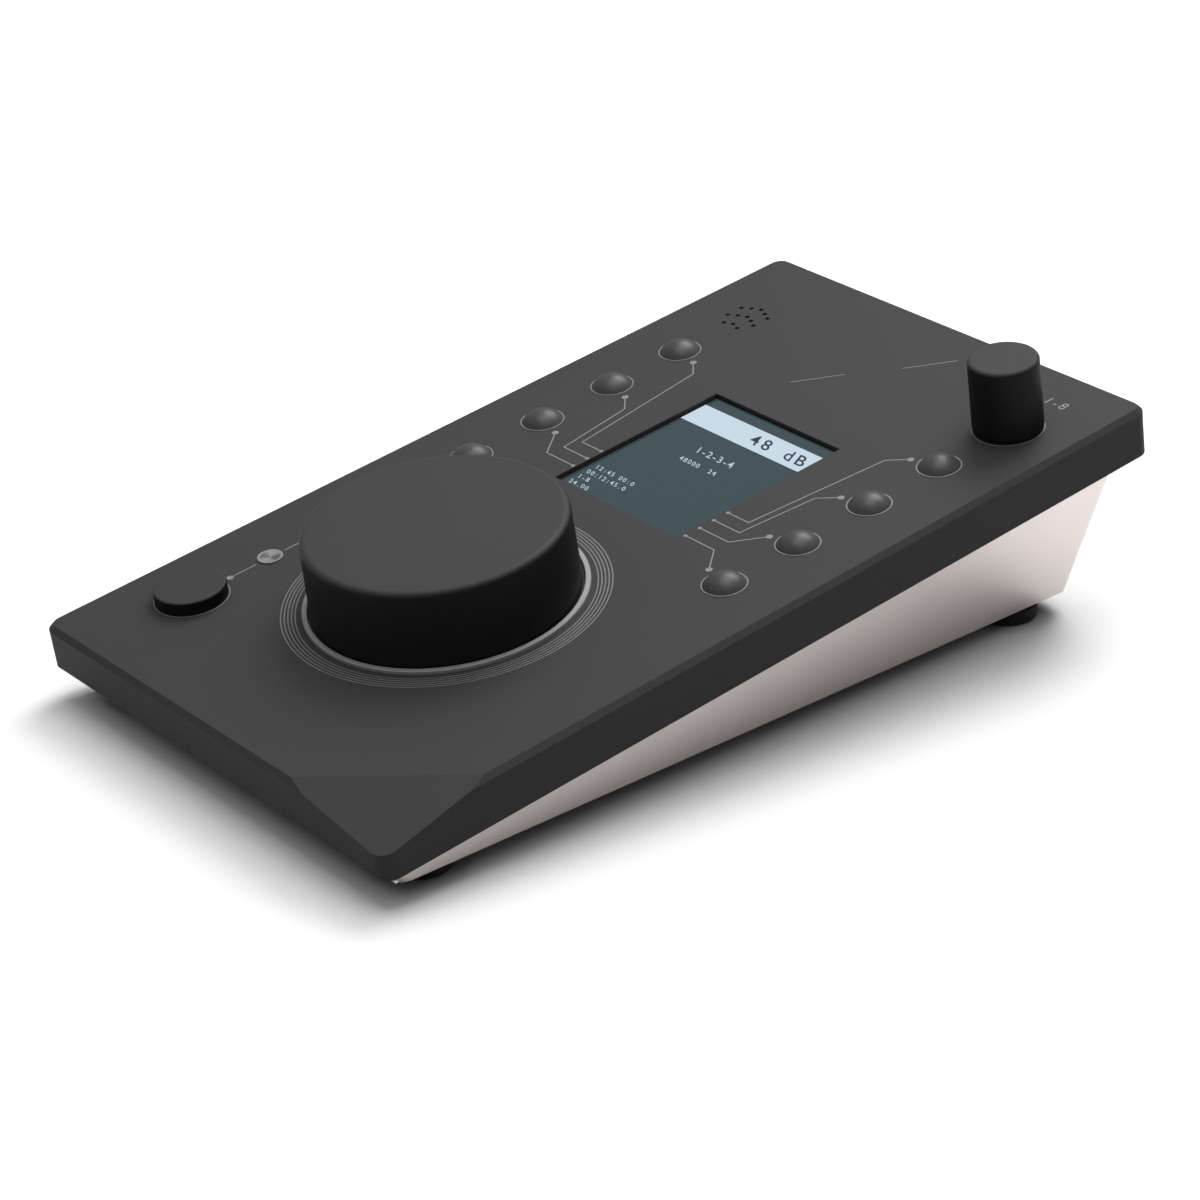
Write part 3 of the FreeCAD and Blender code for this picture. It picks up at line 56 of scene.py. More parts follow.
# The panel's frame: its origin is where the volume knob's axis meets the top face, Y runs up the slope and
# Z along the panel's normal
NORMAL = Vector(JOINTS["volume_turn"]["axis"]).normalized()
TILT = math.atan2(-NORMAL.y, NORMAL.z)
PANEL = Matrix.Translation(JOINTS["volume_turn"]["pos_m"]) @ Matrix.Rotation(TILT, 4, "X")


def panel_box(node):
    """Lowest and highest corner of a CAD node in the panel's frame."""
    to_panel = PANEL.inverted()
    points = [to_panel @ vertex.co for vertex in frame["nodes"][node].data.vertices]
    return [Vector([pick(point[i] for point in points) for i in range(3)]) for pick in (min, max)]


def panel_centre(node):
    low, high = panel_box(node)
    return (low + high) / 2


SIDES = (("left", -1), ("right", 1))
ROWS = range(4)
DOMES = {(side, row): panel_centre(f"dome_{hand}_{row + 1}") for hand, side in SIDES for row in ROWS}
VOLUME = Vector((0, 0, 0))
SELECT = panel_centre("select_knob")
BUTTON = panel_centre("round_button")
DISC = panel_centre("status_disc")
SCREEN_TOP = panel_box("display_screen")[1].z
# The panel's lip covers the lens by this much on every side
LENS_LIP = 3.0 * MM
LENS_LOW, LENS_HIGH = panel_box("display_lens")
WINDOW_LOW = LENS_LOW + Vector((LENS_LIP, LENS_LIP, 0))
WINDOW_HIGH = LENS_HIGH - Vector((LENS_LIP, LENS_LIP, 0))
# Ink starts this much above its surface, so that no two faces coincide
INK_LIFT = 0.002 * MM


# ---- colours and nodes ----------------------------------------------------------------------------------

# The Mix node's sockets for colours, by number because its names repeat
FACTOR, FIRST, SECOND, MIXED = 0, 6, 7, 2


def opaque(colour):
    """A colour's three channels with the full alpha that a shader takes."""
    return tuple(colour) + (1.0,)


def linear(hex_colour):
    """An sRGB colour such as #8090a0 as the linear values a shader takes."""
    channels = [int(hex_colour[i : i + 2], 16) / 255 for i in (1, 3, 5)]
    return opaque(c / 12.92 if c <= 0.04045 else ((c + 0.055) / 1.055) ** 2.4 for c in channels)


def add_node(tree, kind, inputs=None, **settings):
    """Adds a node. settings are its own properties; inputs are values, or sockets to link from."""
    node = tree.nodes.new(kind)
    for name, value in settings.items():
        setattr(node, name, value)
    for name, value in (inputs or {}).items():
        if isinstance(value, bpy.types.NodeSocket):
            tree.links.new(value, node.inputs[name])
        else:
            node.inputs[name].default_value = value
    return node


def shader_of(material):
    return material.node_tree.nodes["Principled BSDF"]


def start_material(name, colour, roughness, metallic=0.0, **inputs):
    """A material with one shader; inputs are more of the shader's sockets, by name with underscores."""
    material = bpy.data.materials.new(name)
    material.use_nodes = True
    sockets = shader_of(material).inputs
    sockets["Base Color"].default_value = colour
    sockets["Roughness"].default_value = roughness
    sockets["Metallic"].default_value = metallic
    for socket, value in inputs.items():
        sockets[socket.replace("_", " ")].default_value = value
    return material


def colour_by(material, share, first, second):
    """Sets the shader's colour: the first where share is 0 and the second where it is 1."""
    tree = material.node_tree
    blend = add_node(
        tree, "ShaderNodeMix", {FACTOR: share, FIRST: first, SECOND: second}, data_type="RGBA"
    )
    tree.links.new(blend.outputs[MIXED], shader_of(material).inputs["Base Color"])


def surface_grain(material, size, height, dull=0.06, shade=0.06, patch=30 * MM):
    """Random grain of a given size and height, which also varies the gloss, and slow patches of shade."""
    tree = material.node_tree
    sockets = shader_of(material).inputs
    place = add_node(tree, "ShaderNodeTexCoord").outputs["Object"]
    fine = add_node(tree, "ShaderNodeTexNoise", {"Vector": place, "Scale": 1 / size, "Detail": 2.0})
    bump = add_node(tree, "ShaderNodeBump", {"Height": fine.outputs["Fac"], "Distance": height})
    tree.links.new(bump.outputs["Normal"], sockets["Normal"])
    middle = sockets["Roughness"].default_value
    gloss = add_node(
        tree, "ShaderNodeMapRange",
        {"Value": fine.outputs["Fac"], "To Min": max(middle - dull, 0.02), "To Max": min(middle + dull, 1)},
    )
    tree.links.new(gloss.outputs["Result"], sockets["Roughness"])
    slow = add_node(tree, "ShaderNodeTexNoise", {"Vector": place, "Scale": 1 / patch, "Detail": 3.0})
    level = add_node(
        tree, "ShaderNodeMapRange",
        {"Value": slow.outputs["Fac"], "To Min": 1 - shade, "To Max": 1 + shade},
    )
    colour = sockets["Base Color"]
    source = colour.links[0].from_socket if colour.links else colour.default_value
    toned = add_node(
        tree, "ShaderNodeHueSaturation", {"Color": source, "Value": level.outputs["Result"]}
    )
    tree.links.new(toned.outputs["Color"], colour)
    return material


def around_axis(tree, centre):
    """A place measured from a point of the panel's frame, with Z along the panel's normal."""
    place = add_node(tree, "ShaderNodeTexCoord").outputs["Object"]
    origin = PANEL @ Vector((centre.x, centre.y, 0))
    return add_node(
        tree, "ShaderNodeMapping", {"Vector": place, "Location": origin, "Rotation": (TILT, 0, 0)},
        vector_type="TEXTURE",
    ).outputs["Vector"]


def distance_from_axis(tree, centre):
    flat = add_node(
        tree, "ShaderNodeVectorMath", {0: around_axis(tree, centre), 1: (1, 1, 0)}, operation="MULTIPLY"
    )
    return add_node(
        tree, "ShaderNodeVectorMath", {0: flat.outputs["Vector"]}, operation="LENGTH"
    ).outputs["Value"]


def ripple(tree, length, pitch):
    """A wave between -1 and 1 along a length, one for each pitch."""
    phase = add_node(tree, "ShaderNodeMath", {0: length, 1: 2 * math.pi / pitch}, operation="MULTIPLY")
    return add_node(tree, "ShaderNodeMath", {0: phase.outputs[0]}, operation="SINE").outputs[0]


def turned_marks(material, centre, pitch, height):
    """Fine rings left by a lathe, added over the bump that the material has."""
    tree = material.node_tree
    normal = shader_of(material).inputs["Normal"]
    wave = ripple(tree, distance_from_axis(tree, centre), pitch)
    bump = add_node(tree, "ShaderNodeBump", {"Height": wave, "Distance": height / 2})
    if normal.links:
        tree.links.new(normal.links[0].from_socket, bump.inputs["Normal"])
    tree.links.new(bump.outputs["Normal"], normal)
    return material


def crown_and_shaded_wall(material, crown, wall):
    """One colour where the surface faces along the panel's normal, another on the upright wall, where a
    darker colour is painted shade.
    """
    tree = material.node_tree
    facing = add_node(
        tree, "ShaderNodeVectorMath",
        {0: add_node(tree, "ShaderNodeNewGeometry").outputs["Normal"], 1: NORMAL},
        operation="DOT_PRODUCT",
    )
    share = add_node(
        tree, "ShaderNodeMapRange",
        {"Value": facing.outputs["Value"], "From Min": 0.15, "From Max": 0.85},
        interpolation_type="SMOOTHSTEP",
    )
    # Painted shade: the upright wall takes the darker colour
    colour_by(material, share.outputs["Result"], wall, crown)


def finish(material, *nodes):
    """Gives CAD nodes a material."""
    for node in nodes:
        for slot in frame["nodes"][node].material_slots:
            slot.material = material


# ---- finishes -------------------------------------------------------------------------------------------

def blasted_black_anodised(colour):
    """Aluminium, bead blasted and black anodised: an even dark satin. The grain, about 0.1 mm on the
    real finish, is drawn at 0.5 mm so that it shows."""
    material = start_material("blasted_black_anodised", colour, 0.58, Specular_IOR_Level=0.12)
    return surface_grain(material, 0.5 * MM, 0.012 * MM, shade=0.03)


def champagne_anodised(colour):
    """Aluminium, bead blasted and champagne anodised: a warm metal that takes the floor's light. Its
    grain is drawn at 0.5 mm too."""
    material = start_material("champagne_anodised", colour, 0.32, metallic=1.0)
    return surface_grain(material, 0.5 * MM, 0.008 * MM, shade=0.02)


def black_powder_coat():
    """Steel sheet with a fine black powder coat: slight orange peel, drawn at 0.8 mm."""
    material = start_material("black_powder_coat", linear("#262626"), 0.55)
    return surface_grain(material, 0.8 * MM, 0.02 * MM)


def moulded_rubber():
    """Black rubber out of a spark-eroded mould: dull, with a slight pale bloom."""
    material = start_material(
        "moulded_rubber", linear("#161616"), 0.8, Specular_IOR_Level=0.3, Sheen_Weight=0.1
    )
    return surface_grain(material, 0.6 * MM, 0.02 * MM, shade=0.15, patch=6 * MM)


def zinc_plated_steel():
    """Steel with bright zinc: a cool, slightly cloudy metal."""
    material = start_material("zinc_plated_steel", linear("#a9acb0"), 0.35, metallic=1.0)
    return surface_grain(material, 0.4 * MM, 0.006 * MM, dull=0.12, shade=0.15, patch=2 * MM)


def green_solder_mask():
    """Glass-fibre laminate under green solder mask: glossy, with the cloth's 0.6 mm weave showing."""
    material = start_material("green_solder_mask", linear("#1f5a36"), 0.3, IOR=1.55)
    tree = material.node_tree
    place = add_node(tree, "ShaderNodeTexCoord").outputs["Object"]
    weave = add_node(
        tree, "ShaderNodeTexBrick",
        {
            "Vector": place, "Scale": 1.0, "Brick Width": 0.6 * MM, "Row Height": 0.6 * MM,
            "Mortar Size": 0.08 * MM, "Color1": linear("#1f5a36"), "Color2": linear("#256540"),
            "Mortar": linear("#174a2b"),
        },
    )
    tree.links.new(weave.outputs["Color"], shader_of(material).inputs["Base Color"])
    return surface_grain(material, 0.6 * MM, 0.004 * MM)


def turned_brass():
    """Free-cutting brass off a bar lathe: bright yellow metal with faint tool marks."""
    material = start_material("turned_brass", linear("#c9a35c"), 0.28, metallic=1.0)
    return surface_grain(material, 0.3 * MM, 0.005 * MM, dull=0.1, shade=0.08, patch=3 * MM)


def moulded_epoxy():
    """Chips and connector bodies in moulded black epoxy: matt, with a very fine texture."""
    material = start_material("moulded_epoxy", linear("#242425"), 0.6)
    return surface_grain(material, 0.25 * MM, 0.008 * MM)


def black_nylon():
    """Switch bodies in glass-filled nylon: dark, a little paler where the filler shows."""
    material = start_material("black_nylon", linear("#2d2d2e"), 0.5)
    return surface_grain(material, 0.3 * MM, 0.01 * MM, shade=0.12, patch=1.5 * MM)


def clear_acrylic():
    """Clear cast acrylic, polished: nothing but a soft reflection, a little duller in patches where it
    has been wiped."""
    material = start_material(
        "clear_acrylic", linear("#ffffff"), 0.0, IOR=1.49, Transmission_Weight=1.0,
        Specular_IOR_Level=0.3,
    )
    tree = material.node_tree
    place = add_node(tree, "ShaderNodeTexCoord").outputs["Object"]
    wiped = add_node(tree, "ShaderNodeTexNoise", {"Vector": place, "Scale": 1 / (12 * MM), "Detail": 1.0})
    gloss = add_node(
        tree, "ShaderNodeMapRange", {"Value": wiped.outputs["Fac"], "To Min": 0.0, "To Max": 0.02}
    )
    tree.links.new(gloss.outputs["Result"], shader_of(material).inputs["Roughness"])
    return material


def cell_foam():
    """Closed-cell foam: grey and dull, with open cells of about 0.4 mm on the cut faces, their hollows
    painted darker as shade.
    """
    material = start_material("cell_foam", linear("#58595b"), 0.95, Specular_IOR_Level=0.2)
    tree = material.node_tree
    place = add_node(tree, "ShaderNodeTexCoord").outputs["Object"]
    cells = add_node(tree, "ShaderNodeTexVoronoi", {"Vector": place, "Scale": 1 / (0.4 * MM)})
    bump = add_node(tree, "ShaderNodeBump", {"Height": cells.outputs["Distance"], "Distance": 0.1 * MM})
    tree.links.new(bump.outputs["Normal"], shader_of(material).inputs["Normal"])
    # Painted shade: the colour is darker where the bump sinks into each cell
    colour_by(material, cells.outputs["Distance"], linear("#3c3d3f"), linear("#66676a"))
    return material


def moulded_frame():
    """The display frame in matt black ABS."""
    material = start_material("moulded_frame", linear("#141414"), 0.65)
    return surface_grain(material, 0.4 * MM, 0.015 * MM)


def amber_film():
    """Polyimide film over copper: translucent amber with the tracks as darker stripes, 0.5 mm apart."""
    material = start_material("amber_film", linear("#b06a1e"), 0.35, IOR=1.6)
    tree = material.node_tree
    place = add_node(tree, "ShaderNodeTexCoord").outputs["Object"]
    across = add_node(tree, "ShaderNodeSeparateXYZ", {"Vector": place}).outputs["X"]
    track = add_node(
        tree, "ShaderNodeMapRange",
        {"Value": ripple(tree, across, 0.5 * MM), "From Min": -0.2, "From Max": 0.2},
    )
    colour_by(material, track.outputs["Result"], linear("#b06a1e"), linear("#7c4212"))
    return material


def ribbon_cable():
    """Grey ribbon cable: round conductors side by side at 1 mm give it soft ribs, with painted shade in the
    grooves between them and a painted highlight along their crests.
    """
    material = start_material("ribbon_cable", linear("#8b8c8e"), 0.5)
    tree = material.node_tree
    place = add_node(tree, "ShaderNodeTexCoord").outputs["Object"]
    across = add_node(tree, "ShaderNodeSeparateXYZ", {"Vector": place}).outputs["X"]
    ribs = ripple(tree, across, 1.0 * MM)
    bump = add_node(tree, "ShaderNodeBump", {"Height": ribs, "Distance": 0.2 * MM})
    tree.links.new(bump.outputs["Normal"], shader_of(material).inputs["Normal"])
    # Painted shade and highlight: the colour follows the ribs' height, darker in the grooves
    share = add_node(tree, "ShaderNodeMapRange", {"Value": ribs, "From Min": -1.0, "From Max": 1.0})
    colour_by(material, share.outputs["Result"], linear("#757678"), linear("#98999b"))
    return material


def nickel_plated():
    """Brass with dull nickel, on the encoders and their nuts: a warm grey metal."""
    material = start_material("nickel_plated", linear("#b9b6b0"), 0.35, metallic=1.0)
    return surface_grain(material, 0.3 * MM, 0.005 * MM, dull=0.1, shade=0.08, patch=2 * MM)


def ground_steel():
    """A centreless-ground shaft: bright steel with a fine grain."""
    material = start_material("ground_steel", linear("#c4c6c8"), 0.22, metallic=1.0)
    return surface_grain(material, 0.2 * MM, 0.003 * MM, dull=0.08)


def turned_knob(name, centre, crown, wall):
    """Knob turned from aluminium, blasted on the crown and black anodised: matt on top, with its turned
    wall painted darker as shade. The marks, about 0.1 mm apart on the real knob, are drawn at 0.6 mm."""
    material = start_material(name, crown, 0.55, Specular_IOR_Level=0.12)
    # The wall's darker colour is painted shade
    crown_and_shaded_wall(material, crown, wall)
    surface_grain(material, 0.5 * MM, 0.01 * MM, shade=0.03)
    return turned_marks(material, centre, 0.6 * MM, 0.004 * MM)


def bright_turned_ring(centre):
    """Aluminium ring with a bright satin face: the palest metal on the panel."""
    material = start_material("bright_turned_ring", linear("#aaa8a7"), 0.55, metallic=0.35)
    surface_grain(material, 0.4 * MM, 0.004 * MM, shade=0.03)
    return turned_marks(material, centre, 0.45 * MM, 0.004 * MM)


def cut_edge():
    """Aluminium left bare where a cutter went through the black: thin pale rings and lines."""
    material = start_material("cut_edge", linear("#7f7f7f"), 0.5, metallic=0.2)
    return surface_grain(material, 0.4 * MM, 0.004 * MM, shade=0.04)


def satin_button():
    """Domed button caps in black anodised aluminium, tumbled to a satin that takes one soft highlight."""
    material = start_material("satin_button", linear("#4b4b4c"), 0.38, Specular_IOR_Level=0.34)
    return surface_grain(material, 0.35 * MM, 0.004 * MM, dull=0.04, shade=0.04)


def flat_button():
    """The flat round cap: the panel's matt black on top, and on its wall a near black that is painted
    shade.
    """
    crown = linear("#424242")
    material = start_material("flat_button", crown, 0.6, Specular_IOR_Level=0.12)
    # Painted shade: the near-black colour goes on the upright wall
    crown_and_shaded_wall(material, crown, linear("#141414"))
    return surface_grain(material, 0.5 * MM, 0.01 * MM, shade=0.03)


def spun_disc_painted_sheen():
    """Aluminium disc with a spun face and a painted reflection: two bright fans of painted highlight and
    two dull fans of painted shade meet in the middle.
    """
    bright, dull = linear("#a9a7a7"), linear("#737272")
    face_radius = 2.45 * MM
    material = start_material("spun_disc_painted_sheen", bright, 0.4, metallic=0.6)
    tree = material.node_tree
    apart = add_node(tree, "ShaderNodeSeparateXYZ", {"Vector": around_axis(tree, DISC)})
    angle = add_node(
        tree, "ShaderNodeMath", {0: apart.outputs["Y"], 1: apart.outputs["X"]}, operation="ARCTAN2"
    )
    # Twice the angle makes two fans of each kind, and the shift turns them
    twice = add_node(
        tree, "ShaderNodeMath", {0: angle.outputs[0], 1: 2.0, 2: 0.6}, operation="MULTIPLY_ADD"
    )
    fan = add_node(tree, "ShaderNodeMath", {0: twice.outputs[0]}, operation="SINE")
    share = add_node(
        tree, "ShaderNodeMapRange",
        {"Value": fan.outputs[0], "From Min": -0.6, "From Max": 0.9},
        interpolation_type="SMOOTHSTEP",
    )
    inner = add_node(
        tree, "ShaderNodeMath", {0: distance_from_axis(tree, DISC), 1: face_radius}, operation="LESS_THAN"
    )
    fan_shade = add_node(
        tree, "ShaderNodeMath", {0: share.outputs["Result"], 1: inner.outputs[0]}, operation="MULTIPLY"
    )
    # Painted reflection: the dull fans are painted shade between the bright ones, and the rim keeps the
    # bright colour
    colour_by(material, fan_shade.outputs[0], bright, dull)
    return turned_marks(material, DISC, 0.3 * MM, 0.004 * MM)


def pressed_can():
    """The capsule's pressed aluminium can."""
    material = start_material("pressed_can", linear("#b0b2b4"), 0.4, metallic=1.0)
    return surface_grain(material, 0.3 * MM, 0.004 * MM, shade=0.08, patch=3 * MM)


def socket_plastic():
    """The data socket's body in glossy black polyester."""
    material = start_material("socket_plastic", linear("#1c1c1d"), 0.35, IOR=1.57)
    return surface_grain(material, 0.5 * MM, 0.005 * MM)


def gold_plated():
    """Spring contacts with hard gold: smooth and yellow."""
    material = start_material("gold_plated", linear("#e0b35a"), 0.2, metallic=1.0)
    return surface_grain(material, 0.2 * MM, 0.002 * MM, dull=0.05, shade=0.05, patch=1 * MM)


def drawn_steel():
    """The power inlet's drawn shell: plain nickelled steel with faint draw lines."""
    material = start_material("drawn_steel", linear("#bcbdbf"), 0.3, metallic=1.0)
    return surface_grain(material, 0.25 * MM, 0.004 * MM, dull=0.1)


def lit_picture(name, colour):
    """One colour of the backlit picture: it glows, with the pixel grid, 0.12 mm on the real screen,
    drawn at 0.4 mm."""
    material = start_material(
        name, linear("#050607"), 0.5, Specular_IOR_Level=0.0, Emission_Strength=1.0
    )
    tree = material.node_tree
    pixel = 0.4 * MM
    grid = add_node(
        tree, "ShaderNodeTexBrick",
        {
            "Vector": around_axis(tree, VOLUME), "Scale": 1.0, "Brick Width": pixel, "Row Height": pixel,
            "Mortar Size": 0.03 * MM, "Color1": colour, "Color2": colour,
            "Mortar": opaque(c * 0.96 for c in colour[:3]),
        },
        offset=0.0,
    )
    tree.links.new(grid.outputs["Color"], shader_of(material).inputs["Emission Color"])
    return material


def border_ink():
    """Black ink on the lens along the window's edge: opaque and dull."""
    material = start_material("border_ink", linear("#070707"), 0.7, Specular_IOR_Level=0.2)
    return surface_grain(material, 0.4 * MM, 0.002 * MM)


def screen_printing_ink():
    """Pale grey two-part ink, screen printed: a slightly raised, even matt film."""
    material = start_material("screen_printing_ink", linear("#939393"), 0.6, Specular_IOR_Level=0.2)
    return surface_grain(material, 0.4 * MM, 0.004 * MM, shade=0.05, patch=4 * MM)


# ---- meshes ---------------------------------------------------------------------------------------------

def strip_outline(points, width):
    """The outline of a strip of the given width along the points, with mitred corners."""
    # A corner sharper than this share of the width allows is cut short
    sharpest = 0.3
    points = [Vector(point) for point in points]
    directions = [(b - a).normalized() for a, b in zip(points, points[1:])]
    left, right = [], []
    for number, point in enumerate(points):
        before = directions[max(number - 1, 0)]
        after = directions[min(number, len(directions) - 1)]
        along = (before + after).normalized()
        across = Vector((-along.y, along.x)) * (width / 2 / max(along.dot(before), sharpest))
        left.append(point + across)
        right.append(point - across)
    return right + left[::-1]


def disc_outline(centre, radius, corners=32):
    steps = [2 * math.pi * number / corners for number in range(corners)]
    return [Vector((centre[0] + radius * math.cos(a), centre[1] + radius * math.sin(a))) for a in steps]


def box_outline(x, y):
    return [Vector((x[0], y[0])), Vector((x[1], y[0])), Vector((x[1], y[1])), Vector((x[0], y[1]))]


def join_loops(shape, first, second):
    """Faces between two loops of as many vertices."""
    for number in range(len(first)):
        following = (number + 1) % len(first)
        shape.faces.new((first[number], first[following], second[following], second[number]))


def place_on_case(name, shape, material):
    """Makes a piece of a shape drawn in the panel's frame, and stands it on the case."""
    mesh = bpy.data.meshes.new(name)
    shape.to_mesh(mesh)
    shape.free()
    mesh.transform(PANEL)
    mesh.materials.append(material)
    piece = bpy.data.objects.new(name, mesh)
    bpy.context.scene.collection.objects.link(piece)
    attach(piece, "case")


def film(name, outlines, bottom, thickness, material):
    """A thin solid film on the panel: each outline raised from bottom by thickness."""
    shape = bmesh.new()
    for outline in outlines:
        lower, upper = (
            [shape.verts.new((point.x, point.y, height)) for point in outline]
            for height in (bottom, bottom + thickness)
        )
        shape.faces.new(lower[::-1])
        shape.faces.new(upper)
        join_loops(shape, lower, upper)
    bmesh.ops.recalc_face_normals(shape, faces=shape.faces)
    place_on_case(name, shape, material)


def rings_film(name, rings, centre, bottom, thickness, material, corners=192):
    """Flat rings of (inner, outer) radius about a centre, as thin closed solids."""
    top = bottom + thickness
    shape = bmesh.new()
    for inner, outer in rings:
        loops = [
            [shape.verts.new((p.x, p.y, height)) for p in disc_outline(centre, radius, corners)]
            for radius, height in ((inner, bottom), (outer, bottom), (outer, top), (inner, top))
        ]
        for first, second in zip(loops, loops[1:] + loops[:1]):
            join_loops(shape, first, second)
    bmesh.ops.recalc_face_normals(shape, faces=shape.faces)
    place_on_case(name, shape, material)


def lettering(name, lines, bottom, thickness, material, lean=0.0, bolder=0.0):
    """Figures in equal steps. Each line is (text, x of its left end, y of its foot, step, height). lean
    slants them, and bolder widens their strokes by that share of the height."""
    # The default font's figures are this share of its size high
    figure_share = 0.72
    shape = bmesh.new()
    for text, x, y, step, height in lines:
        for number, letter in enumerate(text):
            if letter == " ":
                continue
            curve = bpy.data.curves.new(name, "FONT")
            curve.body = letter
            curve.align_x = "CENTER"
            curve.size = height / figure_share
            curve.shear = lean
            curve.offset = bolder * height
            curve.resolution_u = 4
            curve.extrude = thickness / 2
            holder = bpy.data.objects.new(name, curve)
            mesh = bpy.data.meshes.new_from_object(holder)
            mesh.transform(Matrix.Translation((x + step * (number + 0.5), y, bottom + thickness / 2)))
            shape.from_mesh(mesh)
            bpy.data.objects.remove(holder)
            bpy.data.curves.remove(curve)
            bpy.data.meshes.remove(mesh)
    bmesh.ops.remove_doubles(shape, verts=shape.verts, dist=0.001 * MM)
    place_on_case(name, shape, material)


# ---- settings -------------------------------------------------------------------------------------------

class PrintSettings(bpy.types.PropertyGroup):
    """Sizes of the printed and cut lines on the panel."""

    line_width: FloatProperty(
        name="Line width", description="Width of the printed lines from the display to the buttons",
        default=0.3 * MM, unit="LENGTH", subtype="DISTANCE",
    )
    hairline_width: FloatProperty(
        name="Hairline width", description="Width of the two slanting lines behind the display",
        default=0.22 * MM, unit="LENGTH", subtype="DISTANCE",
    )
    window_dot: FloatProperty(
        name="Dot at the display", description="Radius of the dot at a line's display end",
        default=0.52 * MM, unit="LENGTH", subtype="DISTANCE",
    )
    button_dot: FloatProperty(
        name="Dot at the button", description="Radius of the dot at a line's button end",
        default=0.85 * MM, unit="LENGTH", subtype="DISTANCE",
    )
    thickness: FloatProperty(
        name="Ink thickness", description="How far the ink stands up from the panel",
        default=0.02 * MM, unit="LENGTH", subtype="DISTANCE",
    )


class FinishColours(bpy.types.PropertyGroup):
    """Colours of the main finishes."""

    panel: FloatVectorProperty(
        name="Panel", description="Anodised colour of the top plate",
        default=linear("#424242")[:3], subtype="COLOR", min=0, max=1,
    )
    knob_crown: FloatVectorProperty(
        name="Knob crown", description="Colour of the knobs' top faces",
        default=linear("#444444")[:3], subtype="COLOR", min=0, max=1,
    )
    # Painted shade: the knobs' walls are coloured darker than their crowns
    knob_wall_shade: FloatVectorProperty(
        name="Knob wall", description="Colour of the knobs' walls",
        default=linear("#1d1d1d")[:3], subtype="COLOR", min=0, max=1,
    )
    base: FloatVectorProperty(
        name="Base", description="Anodised colour of the wedge base",
        default=linear("#d8cfcc")[:3], subtype="COLOR", min=0, max=1,
    )
    screen: FloatVectorProperty(
        name="Screen", description="Background of the display's picture",
        default=linear("#3a4b53")[:3], subtype="COLOR", min=0, max=1,
    )
    band: FloatVectorProperty(
        name="Level band", description="The pale band behind the level on the display",
        default=linear("#d0e2f0")[:3], subtype="COLOR", min=0, max=1,
    )


class StageSettings(bpy.types.PropertyGroup):
    """Light on the stage."""

    top_power: FloatProperty(
        name="Top lamp", description="Power of the large lamp straight above the part",
        default=5.6, unit="POWER", min=0,
    )
    rear_power: FloatProperty(
        name="Rear lamp", description="Power of the large lamp above and behind the part on the left",
        default=8.3, unit="POWER", min=0,
    )
    horizon: FloatProperty(
        name="Light at the horizon", description="Light of the room from low down, as a share of white",
        default=0.12, subtype="FACTOR", min=0, max=1,
    )
    zenith: FloatProperty(
        name="Light from above", description="Light of the room from straight above, as a share of white",
        default=0.42, subtype="FACTOR", min=0, max=1,
    )
    bounce: FloatProperty(
        name="Floor bounce", description="Share of the light that the floor returns to the part",
        default=0.3, subtype="FACTOR", min=0, max=1,
    )


# ---- pieces ---------------------------------------------------------------------------------------------

class CONTROLLER_OT_case(bpy.types.Operator):
    """Gives the case, its feet and its screws their finishes"""

    bl_idname = "controller.case"
    bl_label = "Case"

    def execute(self, context):
        colours = context.scene.controller_colours
        finish(blasted_black_anodised(opaque(colours.panel)), "top_plate")
        finish(champagne_anodised(opaque(colours.base)), "base_shell")
        finish(black_powder_coat(), "bottom_cover")
        finish(
            moulded_rubber(),
            *(f"foot_{end}_{hand}" for end in ("front", "rear") for hand, side in SIDES),
        )
        finish(
            zinc_plated_steel(),
            "cover_screws", "panel_screws", "board_screws", "rear_board_screws",
            "volume_grub_screw", "select_grub_screw",
        )
        return {"FINISHED"}


class CONTROLLER_OT_boards(bpy.types.Operator):
    """Gives the boards and what they carry their finishes"""

    bl_idname = "controller.boards"
    bl_label = "Boards"

    def execute(self, context):
        finish(green_solder_mask(), "control_board", "rear_board")
        finish(turned_brass(), "board_standoffs", "rear_board_posts")
        finish(moulded_epoxy(), "board_parts", "link_header")
        finish(black_nylon(), "dome_switches", "round_button_switch", "select_plunger")
        finish(ribbon_cable(), "link_ribbon")
        finish(cell_foam(), "display_pad", "microphone_gasket")
        finish(pressed_can(), "microphone")
        return {"FINISHED"}


